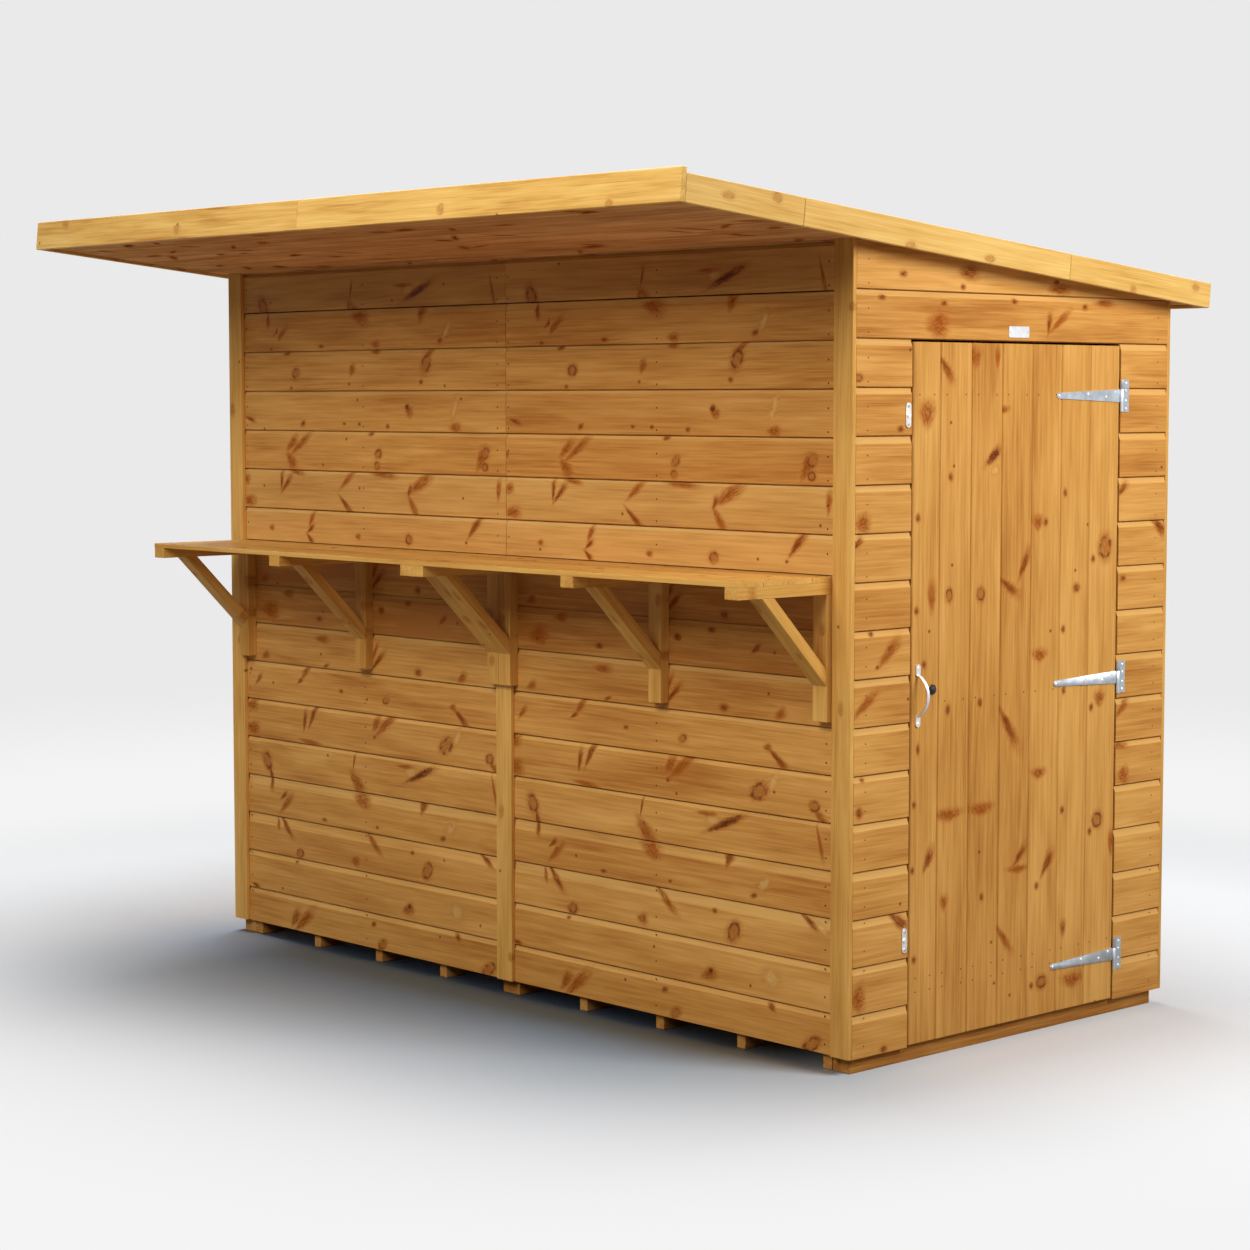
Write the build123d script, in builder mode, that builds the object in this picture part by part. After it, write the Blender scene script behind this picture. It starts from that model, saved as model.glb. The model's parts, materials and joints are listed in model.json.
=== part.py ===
from build123d import *
import os
from math import cos, radians, sin, tan

# Outdoor garden bar: a small timber cabin with a serving front, a bar shelf on
# brackets, a plank door in one end and a deep roof that shades the bar.
# X runs along the bar to the door end, Y to the rear, Z up from the ground.
# The origin is the centre of the floor's underside.

# Cabin, over the outside of its boards and trims
CABIN_LENGTH = 2440
CABIN_DEPTH = 1182
ROOF_PITCH = 5.52

# Wall timber and boards
STUD_W = 45
STUD_D = 28
CLADDING_T = 12
TRIM_W = 60
TRIM_T = 12
PANEL_SEAM = 1
RUNNING_GAP = 5

# Floor
JOIST_H = 38
JOIST_W = 28
JOISTS_PER_SIDE = 4
END_JOIST_GAP = 3
CENTRE_JOIST_W = 64
END_BEARER_W = 54
FLOOR_BOARD_T = 12

# Roof
FRONT_OVERHANG = 597
REAR_OVERHANG = 85
SIDE_OVERHANG = 58
ROOF_BOARD_T = 12
ROOF_JOIST_H = 28
ROOF_JOIST_W = 45
ROOF_JOISTS = 7
FELT_T = 2
FASCIA_T = 14
FASCIA_DROP = 8
FASCIA_UPSTAND = 12
FASCIA_JOINT_X = -72
BARGE_JOINTS = (-223, 704)

# Serving front
HATCH_HEAD = 1798
HEAD_BOARDS_H = 114
BAR_HEIGHT = 1148
BAR_DEPTH = 313
BAR_BOARD_W = 80
BAR_BOARD_T = 12
BAR_BOARD_GAP = 1.5

# Bar brackets
BRACKET_W = 45
BRACKET_T = 28
BRACKET_DROP = 321
MID_BRACKET_SHIFT = 7.5
BRACE_RUN = 211

# Door
DOOR_SIDE_W = 206
DOOR_HEAD_DROP = 110
LEDGE_H = 95
LEDGE_INSET = 20
LOW_LEDGE_RISE = 112
TOP_LEDGE_DROP = 123
BRACE_W = 95

# Tee hinges
STRAP_L = 250
STRAP_ROOT_H = 32
STRAP_TIP_H = 14
HINGE_LEAF_H = 80
HINGE_LEAF_REACH = 32
HINGE_PLATE_T = 2.5
HINGE_BARREL_R = 5
HINGE_PIN_R = 2.5
PIN_CLEARANCE = 0.06
KNUCKLE_GAP = 0.4

# Shutter hinges
BUTT_HINGE_L = 40
BUTT_LEAF_H = 30
BUTT_PLATE_T = 2
BUTT_BARREL_R = 4
BUTT_PIN_R = 2
BUTT_KNUCKLE_L = 14

# Pull handle, lock, turn buttons and plate
HANDLE_EDGE = 21
HANDLE_RISE = 6.5
HANDLE_L = 147
HANDLE_FOOT_L = 25
HANDLE_FOOT_W = 14
HANDLE_FOOT_T = 4
HANDLE_REACH = 38
HANDLE_ROD_R = 4
LOCK_EDGE = 73
LOCK_RISE = 17.5
LOCK_R = 12
LOCK_T = 4
LOCK_PLUG_R = 8
LOCK_PLUG_T = 3
BUTTON_EDGE = 19
LOW_BUTTON_RISE = 250
TOP_BUTTON_DROP = 168
BUTTON_L = 58
BUTTON_W = 16
BUTTON_T = 3
BUTTON_BOSS_R = 6
PLATE_SHIFT = 9
PLATE_RISE = 23
PLATE_W = 75
PLATE_H = 27
PLATE_T = 1.5
PLATE_CORNER_R = 4

# Faces of the walls, measured from the middle of the cabin
half_length = CABIN_LENGTH / 2
half_depth = CABIN_DEPTH / 2
face_y = half_depth - TRIM_T
lining_y = face_y - CLADDING_T
frame_y = lining_y - STUD_D
end_x = half_length - CLADDING_T
frame_x = end_x - STUD_D
trim_x = half_length - TRIM_W
seam_x = PANEL_SEAM / 2
mid_x = trim_x / 2

# Heights
deck_top = JOIST_H + FLOOR_BOARD_T
rail_top = deck_top + STUD_W
sill_low = BAR_HEIGHT - STUD_W
arm_top = BAR_HEIGHT - BAR_BOARD_T
arm_low = arm_top - BRACKET_T
leg_low = arm_top - BRACKET_DROP
front_eaves = HATCH_HEAD + HEAD_BOARDS_H

# Door, one board row lower than the shutters, with its ledges and fittings
door_half = half_depth - DOOR_SIDE_W
door_head = HATCH_HEAD - DOOR_HEAD_DROP
door_low = JOIST_H + RUNNING_GAP
door_top = door_head - RUNNING_GAP
low_ledge_z = door_low + LOW_LEDGE_RISE
top_ledge_z = door_top - TOP_LEDGE_DROP
mid_ledge_z = (low_ledge_z + top_ledge_z) / 2
ledges_z = (low_ledge_z, mid_ledge_z, top_ledge_z)
handle_y = HANDLE_EDGE - door_half
handle_z = mid_ledge_z + HANDLE_RISE
lock_spot = (LOCK_EDGE - door_half, mid_ledge_z + LOCK_RISE)
buttons_z = (door_low + LOW_BUTTON_RISE, door_top - TOP_BUTTON_DROP)
button_spots = [(-door_half - BUTTON_EDGE, z) for z in buttons_z]
plate_spot = (-PLATE_SHIFT, door_head + PLATE_RISE)

# The roof's underside, with its own Y running down the slope to the rear
slope = radians(ROOF_PITCH)
underside = Plane(
    origin=(0, -half_depth, front_eaves),
    x_dir=(1, 0, 0),
    z_dir=(0, sin(slope), cos(slope)),
)
rear_eaves = front_eaves - CABIN_DEPTH * tan(slope)
roof_front = -FRONT_OVERHANG
roof_rear = CABIN_DEPTH / cos(slope) + REAR_OVERHANG
roof_x = half_length + SIDE_OVERHANG
roof_inner_x = roof_x - FASCIA_T
roof_top = 2 * ROOF_BOARD_T + ROOF_JOIST_H


def area(left, right, low, high):
    """Draws a rectangle between four edges in the sketch that is open."""
    with Locations(((left + right) / 2, (low + high) / 2)):
        Rectangle(right - left, high - low)


def save(piece, name):
    """Labels a finished piece and writes it to its own file."""
    piece.part.label = name
    export_step(piece.part, f"parts/{name}.step")


os.makedirs("parts", exist_ok=True)

# Floor: joists from front to rear, and a boarded deck in two panels
with BuildPart() as floor_joists:
    bearer_x = end_x - RUNNING_GAP - END_BEARER_W / 2
    last_joist_x = bearer_x - (END_BEARER_W + JOIST_W) / 2 - END_JOIST_GAP
    shares = [n / JOISTS_PER_SIDE for n in range(1, JOISTS_PER_SIDE + 1)]
    joists_x = [side * share * last_joist_x for side in (-1, 1) for share in shares]
    with BuildSketch(Plane.XZ.offset(-lining_y)):
        with Locations((0, JOIST_H / 2)):
            Rectangle(CENTRE_JOIST_W, JOIST_H)
        with Locations(*[(x, JOIST_H / 2) for x in joists_x]):
            Rectangle(JOIST_W, JOIST_H)
        with Locations((-bearer_x, JOIST_H / 2), (bearer_x, JOIST_H / 2)):
            Rectangle(END_BEARER_W, JOIST_H)
    extrude(amount=2 * lining_y)
save(floor_joists, "floor_joists")

with BuildPart() as floor_deck:
    with BuildSketch(Plane.XY.offset(JOIST_H)):
        area(seam_x, end_x - RUNNING_GAP, -lining_y, lining_y)
    extrude(amount=FLOOR_BOARD_T)
    mirror(about=Plane.YZ)
save(floor_deck, "floor_deck")

# Front wall: two framed panels under the bar, and one lintel over the opening
with BuildPart() as front_studs:
    with BuildSketch(Plane.XY.offset(rail_top)):
        area(seam_x, seam_x + STUD_W, -lining_y, -frame_y)
        area(mid_x - STUD_W / 2, mid_x + STUD_W / 2, -lining_y, -frame_y)
    extrude(amount=sill_low - rail_top)
    with BuildSketch(Plane.XY.offset(rail_top)):
        area(end_x - STUD_W, end_x, -lining_y, -frame_y)
    extrude(amount=HATCH_HEAD - rail_top)
    mirror(about=Plane.YZ)
save(front_studs, "front_studs")

with BuildPart() as front_rails:
    with BuildSketch(Plane.XZ.offset(frame_y)):
        area(seam_x, end_x, deck_top, rail_top)
        area(seam_x, end_x - STUD_W, sill_low, BAR_HEIGHT)
        mirror(about=Plane.YZ)
        area(-end_x, end_x, HATCH_HEAD, front_eaves)
    extrude(amount=STUD_D)
    split(bisect_by=underside, keep=Keep.BOTTOM)
save(front_rails, "front_rails")

with BuildPart() as front_cladding:
    with BuildSketch(Plane.XZ.offset(lining_y)):
        area(seam_x, end_x, JOIST_H, BAR_HEIGHT)
        mirror(about=Plane.YZ)
    extrude(amount=CLADDING_T)
save(front_cladding, "front_cladding")

with BuildPart() as front_jamb_strips:
    with BuildSketch(Plane.XZ.offset(lining_y)):
        area(trim_x, end_x, BAR_HEIGHT, HATCH_HEAD)
        mirror(about=Plane.YZ)
    extrude(amount=CLADDING_T)
save(front_jamb_strips, "front_jamb_strips")

with BuildPart() as front_head_boards:
    with BuildSketch(Plane.XZ.offset(lining_y)):
        area(seam_x, end_x, HATCH_HEAD, front_eaves)
        mirror(about=Plane.YZ)
    extrude(amount=CLADDING_T)
    split(bisect_by=underside, keep=Keep.BOTTOM)
save(front_head_boards, "front_head_boards")

# Rear wall: two framed panels, boarded from the floor to the roof
rear_plate_low = rear_eaves - STUD_W
with BuildPart() as rear_studs:
    with BuildSketch(Plane.XY.offset(rail_top)):
        area(seam_x, seam_x + STUD_W, frame_y, lining_y)
        area(mid_x - STUD_W / 2, mid_x + STUD_W / 2, frame_y, lining_y)
        area(end_x - STUD_W, end_x, frame_y, lining_y)
    extrude(amount=rear_plate_low - rail_top)
    mirror(about=Plane.YZ)
save(rear_studs, "rear_studs")

with BuildPart() as rear_rails:
    with BuildSketch(Plane.XZ.offset(-lining_y)):
        area(seam_x, end_x, deck_top, rail_top)
        area(seam_x, end_x, rear_plate_low, front_eaves)
        mirror(about=Plane.YZ)
    extrude(amount=STUD_D)
    split(bisect_by=underside, keep=Keep.BOTTOM)
save(rear_rails, "rear_rails")

with BuildPart() as rear_cladding:
    with BuildSketch(Plane.XZ.offset(-face_y)):
        area(seam_x, end_x, JOIST_H, front_eaves)
        mirror(about=Plane.YZ)
    extrude(amount=CLADDING_T)
    split(bisect_by=underside, keep=Keep.BOTTOM)
save(rear_cladding, "rear_cladding")

# Blind end wall: three studs between a sole rail and a rail that follows the roof
with BuildPart() as left_wall_studs:
    with BuildSketch(Plane.XY.offset(rail_top)):
        area(-end_x, -frame_x, -STUD_W / 2, STUD_W / 2)
        area(-end_x, -frame_x, frame_y - STUD_W, frame_y)
        area(-end_x, -frame_x, -frame_y, STUD_W - frame_y)
    extrude(amount=front_eaves - rail_top)
    split(bisect_by=underside.offset(-STUD_W), keep=Keep.BOTTOM)
save(left_wall_studs, "left_wall_studs")

with BuildPart() as left_wall_rails:
    with BuildSketch(Plane.YZ.offset(-end_x)):
        area(-frame_y, frame_y, rail_top, front_eaves)
    extrude(amount=STUD_D)
    split(bisect_by=underside, keep=Keep.BOTTOM)
    split(bisect_by=underside.offset(-STUD_W), keep=Keep.TOP)
    with BuildSketch(Plane.YZ.offset(-end_x)):
        area(-frame_y, frame_y, deck_top, rail_top)
    extrude(amount=STUD_D)
save(left_wall_rails, "left_wall_rails")

with BuildPart() as left_wall_cladding:
    with BuildSketch(Plane.YZ.offset(-half_length)):
        area(-face_y, face_y, JOIST_H, front_eaves)
    extrude(amount=CLADDING_T)
    split(bisect_by=underside, keep=Keep.BOTTOM)
save(left_wall_cladding, "left_wall_cladding")

# Door wall: a stud each side of the doorway and a short rail over it
door_gap_y = door_half + RUNNING_GAP
with BuildPart() as door_wall_studs:
    with BuildSketch(Plane.XY.offset(rail_top)):
        area(frame_x, end_x, door_gap_y, door_gap_y + STUD_W)
        area(frame_x, end_x, frame_y - STUD_W, frame_y)
        mirror(about=Plane.XZ)
    extrude(amount=front_eaves - rail_top)
    split(bisect_by=underside.offset(-STUD_W), keep=Keep.BOTTOM)
save(door_wall_studs, "door_wall_studs")

with BuildPart() as door_wall_rails:
    with BuildSketch(Plane.YZ.offset(frame_x)):
        area(-frame_y, frame_y, rail_top, front_eaves)
    extrude(amount=STUD_D)
    split(bisect_by=underside, keep=Keep.BOTTOM)
    split(bisect_by=underside.offset(-STUD_W), keep=Keep.TOP)
    with BuildSketch(Plane.YZ.offset(frame_x)):
        area(door_gap_y, frame_y, deck_top, rail_top)
        mirror(about=Plane.YZ)
        area(-door_gap_y, door_gap_y, door_head, door_head + STUD_W)
    extrude(amount=STUD_D)
save(door_wall_rails, "door_wall_rails")

with BuildPart() as door_wall_cladding:
    with BuildSketch(Plane.YZ.offset(end_x)):
        area(door_gap_y, face_y, JOIST_H, door_head)
        mirror(about=Plane.YZ)
    extrude(amount=CLADDING_T)
save(door_wall_cladding, "door_wall_cladding")

with BuildPart() as door_wall_header:
    with BuildSketch(Plane.YZ.offset(end_x)):
        area(-face_y, face_y, door_head, front_eaves)
    extrude(amount=CLADDING_T)
    split(bisect_by=underside, keep=Keep.BOTTOM)
save(door_wall_header, "door_wall_header")

# Trims over the corners and over the joint between two wall panels
with BuildPart() as corner_trims:
    with BuildSketch(Plane.XY.offset(JOIST_H)):
        area(trim_x, half_length, face_y, half_depth)
        mirror(about=Plane.XZ)
        mirror(about=Plane.YZ)
    extrude(amount=front_eaves - JOIST_H)
    split(bisect_by=underside, keep=Keep.BOTTOM)
save(corner_trims, "corner_trims")

with BuildPart() as cover_strips:
    with BuildSketch(Plane.XY.offset(JOIST_H)):
        area(-TRIM_W / 2, TRIM_W / 2, -half_depth, -face_y)
    extrude(amount=leg_low - JOIST_H)
    with BuildSketch(Plane.XY.offset(JOIST_H)):
        area(-TRIM_W / 2, TRIM_W / 2, face_y, half_depth)
    extrude(amount=front_eaves - JOIST_H)
    split(bisect_by=underside, keep=Keep.BOTTOM)
save(cover_strips, "cover_strips")

# Roof: soffit boards, joists, deck and felt, laid up in the slope of the roof
with BuildPart() as roof_soffit:
    with BuildSketch(underside):
        area(-roof_inner_x, roof_inner_x, roof_front + FASCIA_T, roof_rear - FASCIA_T)
    extrude(amount=ROOF_BOARD_T)
save(roof_soffit, "roof_soffit")

with BuildPart() as roof_joists:
    joist_pitch = (2 * roof_inner_x - ROOF_JOIST_W) / (ROOF_JOISTS - 1)
    joist_length = roof_rear - roof_front - 2 * FASCIA_T
    with BuildSketch(underside.offset(ROOF_BOARD_T)):
        with Locations((0, (roof_front + roof_rear) / 2)):
            with GridLocations(joist_pitch, 0, ROOF_JOISTS, 1):
                Rectangle(ROOF_JOIST_W, joist_length)
    extrude(amount=ROOF_JOIST_H)
save(roof_joists, "roof_joists")

with BuildPart() as roof_deck:
    with BuildSketch(underside.offset(ROOF_BOARD_T + ROOF_JOIST_H)):
        area(-roof_inner_x, roof_inner_x, roof_front + FASCIA_T, roof_rear - FASCIA_T)
    extrude(amount=ROOF_BOARD_T)
save(roof_deck, "roof_deck")

with BuildPart() as roof_felt:
    with BuildSketch(underside.offset(roof_top)):
        area(-roof_inner_x, roof_inner_x, roof_front + FASCIA_T, roof_rear)
    extrude(amount=FELT_T)
save(roof_felt, "roof_felt")

# The front fascia is butted from two boards and covers the ends of the bargeboards
with BuildPart() as fascia_boards:
    with BuildSketch(underside.offset(-FASCIA_DROP)):
        area(-roof_x, FASCIA_JOINT_X - seam_x, roof_front, roof_front + FASCIA_T)
        area(FASCIA_JOINT_X + seam_x, roof_x, roof_front, roof_front + FASCIA_T)
    extrude(amount=FASCIA_DROP + roof_top + FELT_T + FASCIA_UPSTAND)
    with BuildSketch(underside.offset(-FASCIA_DROP)):
        area(-roof_inner_x, roof_inner_x, roof_rear - FASCIA_T, roof_rear)
    extrude(amount=FASCIA_DROP + roof_top)
save(fascia_boards, "fascia_boards")

with BuildPart() as bargeboards:
    cuts = (roof_front + FASCIA_T - seam_x, *BARGE_JOINTS, roof_rear + seam_x)
    with BuildSketch(underside.offset(-FASCIA_DROP)):
        for near, far in zip(cuts, cuts[1:]):
            area(roof_inner_x, roof_x, near + seam_x, far - seam_x)
        mirror(about=Plane.YZ)
    extrude(amount=FASCIA_DROP + roof_top + FELT_T)
save(bargeboards, "bargeboards")

# Bar shelf: four boards on six brackets, each a leg, an arm and a brace
with BuildPart() as bar_top:
    bar_front = face_y + BAR_DEPTH
    joints = [half_depth + n * BAR_BOARD_W for n in (1, 2, 3)]
    edges = (face_y - BAR_BOARD_GAP / 2, *joints, bar_front + BAR_BOARD_GAP / 2)
    with BuildSketch(Plane.XY.offset(arm_top)):
        for near, far in zip(edges, edges[1:]):
            area(-trim_x, trim_x, BAR_BOARD_GAP / 2 - far, -near - BAR_BOARD_GAP / 2)
    extrude(amount=BAR_BOARD_T)
save(bar_top, "bar_top")

bracket_x = (seam_x, mid_x + MID_BRACKET_SHIFT - BRACKET_W / 2, trim_x - BRACKET_W)
leg_face = face_y + BRACKET_T
with BuildPart() as bracket_legs:
    with BuildSketch(Plane.XY.offset(leg_low)):
        for x in bracket_x:
            area(x, x + BRACKET_W, -leg_face, -face_y)
        mirror(about=Plane.YZ)
    extrude(amount=arm_low - leg_low)
save(bracket_legs, "bracket_legs")

with BuildPart() as bracket_arms:
    with BuildSketch(Plane.XY.offset(arm_low)):
        for x in bracket_x:
            area(x, x + BRACKET_W, -bar_front, -face_y)
        mirror(about=Plane.YZ)
    extrude(amount=BRACKET_T)
save(bracket_arms, "bracket_arms")

with BuildPart() as bracket_braces:
    cut_length = BRACKET_T / cos(radians(45))
    with BuildSketch(*[Plane.YZ.offset(x) for x in bracket_x]):
        Polygon(
            (-leg_face, arm_low - BRACE_RUN),
            (-leg_face, arm_low - BRACE_RUN + cut_length),
            (cut_length - leg_face - BRACE_RUN, arm_low),
            (-leg_face - BRACE_RUN, arm_low),
            align=None,
        )
    extrude(amount=BRACKET_W)
    mirror(about=Plane.YZ)
save(bracket_braces, "bracket_braces")

# Plank door: one skin of boards on three ledges, with a brace rising from each hinge
ledge_y = door_half - LEDGE_INSET
with BuildPart() as door_boards:
    with BuildSketch(Plane.YZ.offset(end_x)):
        area(-door_half, door_half, door_low, door_top)
    extrude(amount=CLADDING_T)
save(door_boards, "door_boards")

with BuildPart() as door_ledges:
    with BuildSketch(Plane.YZ.offset(frame_x)):
        for z in ledges_z:
            area(-ledge_y, ledge_y, z - LEDGE_H / 2, z + LEDGE_H / 2)
    extrude(amount=STUD_D)
save(door_ledges, "door_ledges")

with BuildPart() as door_braces:
    with BuildSketch(Plane.YZ.offset(frame_x)):
        for lower, upper in zip(ledges_z, ledges_z[1:]):
            foot = lower + LEDGE_H / 2
            head = upper - LEDGE_H / 2
            Polygon(
                (ledge_y, foot),
                (ledge_y - BRACE_W, foot),
                (-ledge_y, head),
                (BRACE_W - ledge_y, head),
                align=None,
            )
    extrude(amount=STUD_D)
save(door_braces, "door_braces")

# Tee hinge: a tapered strap on the door turns on a pin in a tall leaf on the wall
hinge_y = door_half + RUNNING_GAP / 2
hinge_x = half_length + HINGE_BARREL_R + 0.5
knuckle_h = STRAP_ROOT_H / 2
with BuildPart() as tee_strap:
    with BuildSketch(Plane.YZ.offset(half_length)):
        with BuildLine():
            tip = hinge_y - STRAP_L
            root_up = (hinge_y, STRAP_ROOT_H / 2)
            tip_up = (tip + STRAP_TIP_H / 2, STRAP_TIP_H / 2)
            tip_down = (tip + STRAP_TIP_H / 2, -STRAP_TIP_H / 2)
            root_down = (hinge_y, -STRAP_ROOT_H / 2)
            Line(root_up, tip_up)
            ThreePointArc(tip_up, (tip, 0), tip_down)
            Line(tip_down, root_down)
            Line(root_down, root_up)
        make_face()
    extrude(amount=HINGE_PLATE_T)
    with BuildSketch(Plane.XY.offset(-knuckle_h)):
        with Locations((hinge_x, hinge_y)):
            Circle(HINGE_BARREL_R)
    extrude(amount=2 * knuckle_h)
    with BuildSketch(Plane.XY.offset(-knuckle_h)):
        with Locations((hinge_x, hinge_y)):
            Circle(HINGE_PIN_R + PIN_CLEARANCE)
    extrude(amount=2 * knuckle_h, mode=Mode.SUBTRACT)

with BuildPart() as tee_hinge_straps:
    with Locations(*[(0, 0, z) for z in ledges_z]):
        add(tee_strap.part)
save(tee_hinge_straps, "tee_hinge_straps")

with BuildPart() as tee_leaf:
    slot_h = knuckle_h + KNUCKLE_GAP
    with BuildSketch(Plane.YZ.offset(half_length)):
        area(hinge_y, hinge_y + HINGE_LEAF_REACH, -HINGE_LEAF_H / 2, HINGE_LEAF_H / 2)
    extrude(amount=HINGE_PLATE_T)
    with BuildSketch(Plane.XY.offset(-HINGE_LEAF_H / 2)):
        with Locations((hinge_x, hinge_y)):
            Circle(HINGE_BARREL_R)
    extrude(amount=HINGE_LEAF_H)
    with BuildSketch(Plane.XY.offset(-slot_h)):
        with Locations((hinge_x, hinge_y)):
            Circle(HINGE_BARREL_R + 1)
    extrude(amount=2 * slot_h, mode=Mode.SUBTRACT)
    with BuildSketch(Plane.XY.offset(-HINGE_LEAF_H / 2)):
        with Locations((hinge_x, hinge_y)):
            Circle(HINGE_PIN_R)
    extrude(amount=HINGE_LEAF_H)

with BuildPart() as tee_hinge_leaves:
    with Locations(*[(0, 0, z) for z in ledges_z]):
        add(tee_leaf.part)
save(tee_hinge_leaves, "tee_hinge_leaves")

# Pull handle: a bent rod whose ends are forged flat as feet on the door
with BuildPart() as pull_handle:
    bow_z = HANDLE_L / 2 - HANDLE_FOOT_L
    bow_x = half_length + HANDLE_FOOT_T - HANDLE_ROD_R / 2
    bow_top = half_length + HANDLE_REACH - HANDLE_ROD_R
    handle_plane = Plane(origin=(0, handle_y, handle_z), x_dir=(1, 0, 0), z_dir=(0, -1, 0))
    with BuildLine(handle_plane) as bow:
        ThreePointArc((bow_x, bow_z), (bow_top, 0), (bow_x, -bow_z))
    with BuildSketch(Plane(origin=bow.line @ 0, z_dir=bow.line % 0)):
        Circle(HANDLE_ROD_R)
    sweep(path=bow.line)
    foot_l = HANDLE_FOOT_L + HANDLE_ROD_R
    foot_z = (HANDLE_L - foot_l) / 2
    with BuildSketch(Plane.YZ.offset(half_length)):
        with Locations((handle_y, handle_z + foot_z), (handle_y, handle_z - foot_z)):
            SlotOverall(foot_l, HANDLE_FOOT_W, rotation=90)
    extrude(amount=HANDLE_FOOT_T)
    split(bisect_by=Plane.YZ.offset(half_length), keep=Keep.TOP)
save(pull_handle, "pull_handle")

with BuildPart() as door_lock:
    with BuildSketch(Plane.YZ.offset(half_length)):
        with Locations(lock_spot):
            Circle(LOCK_R)
    extrude(amount=LOCK_T)
    with BuildSketch(Plane.YZ.offset(half_length + LOCK_T)):
        with Locations(lock_spot):
            Circle(LOCK_PLUG_R)
    extrude(amount=LOCK_PLUG_T)
save(door_lock, "door_lock")

# Turn buttons beside the door, and the blank plate over it
with BuildPart() as turn_buttons:
    with BuildSketch(Plane.YZ.offset(half_length)):
        with Locations(*button_spots):
            SlotOverall(BUTTON_L, BUTTON_W, rotation=90)
    extrude(amount=BUTTON_T)
    with BuildSketch(Plane.YZ.offset(half_length + BUTTON_T)):
        with Locations(*button_spots):
            Circle(BUTTON_BOSS_R)
    extrude(amount=BUTTON_T)
save(turn_buttons, "turn_buttons")

with BuildPart() as name_plate:
    with BuildSketch(Plane.YZ.offset(half_length)):
        with Locations(plate_spot):
            RectangleRounded(PLATE_W, PLATE_H, PLATE_CORNER_R)
    extrude(amount=PLATE_T)
save(name_plate, "name_plate")

# Shutters: two boarded flaps that hang from the lintel and swing in and up
hatch_low = BAR_HEIGHT + RUNNING_GAP
hatch_top = HATCH_HEAD - RUNNING_GAP
hatch_near = RUNNING_GAP / 2
hatch_far = trim_x - RUNNING_GAP
battens_x = (
    hatch_near + STUD_W / 2,
    (hatch_near + hatch_far) / 2,
    hatch_far - STUD_W / 2,
)
butt_y = -frame_y + BUTT_BARREL_R
butt_z = (hatch_top + HATCH_HEAD) / 2

with BuildPart() as butt_flap:
    with BuildSketch(Plane.XZ.offset(frame_y - BUTT_PLATE_T)):
        area(-BUTT_HINGE_L / 2, BUTT_HINGE_L / 2, butt_z - BUTT_LEAF_H, butt_z)
    extrude(amount=BUTT_PLATE_T)
    with BuildSketch(Plane.YZ.offset(-BUTT_HINGE_L / 2)):
        with Locations((butt_y, butt_z)):
            Circle(BUTT_BARREL_R)
    extrude(amount=BUTT_HINGE_L)
    with BuildSketch(Plane.YZ.offset(-BUTT_KNUCKLE_L / 2)):
        with Locations((butt_y, butt_z)):
            Circle(BUTT_BARREL_R + 1)
    extrude(amount=BUTT_KNUCKLE_L, mode=Mode.SUBTRACT)
    with BuildSketch(Plane.YZ.offset(-BUTT_HINGE_L / 2)):
        with Locations((butt_y, butt_z)):
            Circle(BUTT_PIN_R)
    extrude(amount=BUTT_HINGE_L)

with BuildPart() as butt_fixed:
    knuckle = BUTT_KNUCKLE_L - 2 * KNUCKLE_GAP
    with BuildSketch(Plane.XZ.offset(frame_y - BUTT_PLATE_T)):
        area(-BUTT_HINGE_L / 2, BUTT_HINGE_L / 2, butt_z, butt_z + BUTT_LEAF_H)
    extrude(amount=BUTT_PLATE_T)
    for side in (-1, 1):
        gap_x = side * (BUTT_HINGE_L + BUTT_KNUCKLE_L) / 4
        with BuildSketch(Plane.YZ.offset(gap_x)):
            with Locations((butt_y, butt_z)):
                Circle(BUTT_BARREL_R + 1)
        extrude(amount=BUTT_HINGE_L / 4, both=True, mode=Mode.SUBTRACT)
    with BuildSketch(Plane.YZ.offset(-knuckle / 2)):
        with Locations((butt_y, butt_z)):
            Circle(BUTT_BARREL_R)
    extrude(amount=knuckle)
    with BuildSketch(Plane.YZ.offset(-knuckle / 2)):
        with Locations((butt_y, butt_z)):
            Circle(BUTT_PIN_R + PIN_CLEARANCE)
    extrude(amount=knuckle, mode=Mode.SUBTRACT)

with BuildPart() as hatch_hinge_leaves:
    with Locations(*[(side * x, 0, 0) for side in (-1, 1) for x in battens_x]):
        add(butt_fixed.part)
save(hatch_hinge_leaves, "hatch_hinge_leaves")


def make_shutter(name, side):
    """One shutter's boards, battens and hinge leaves; side is -1 left or 1 right."""
    near, far = sorted((side * hatch_near, side * hatch_far))
    with BuildPart() as boards:
        with BuildSketch(Plane.XZ.offset(lining_y)):
            area(near, far, hatch_low, hatch_top)
        extrude(amount=CLADDING_T)
    save(boards, f"{name}_boards")
    with BuildPart() as battens:
        with BuildSketch(Plane.XZ.offset(frame_y)):
            for x in battens_x:
                area(side * x - STUD_W / 2, side * x + STUD_W / 2, hatch_low, hatch_top)
        extrude(amount=STUD_D)
    save(battens, f"{name}_battens")
    with BuildPart() as hinges:
        with Locations(*[(side * x, 0, 0) for x in battens_x]):
            add(butt_flap.part)
    save(hinges, f"{name}_hinges")


make_shutter("hatch_left", -1)
make_shutter("hatch_right", 1)
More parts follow.
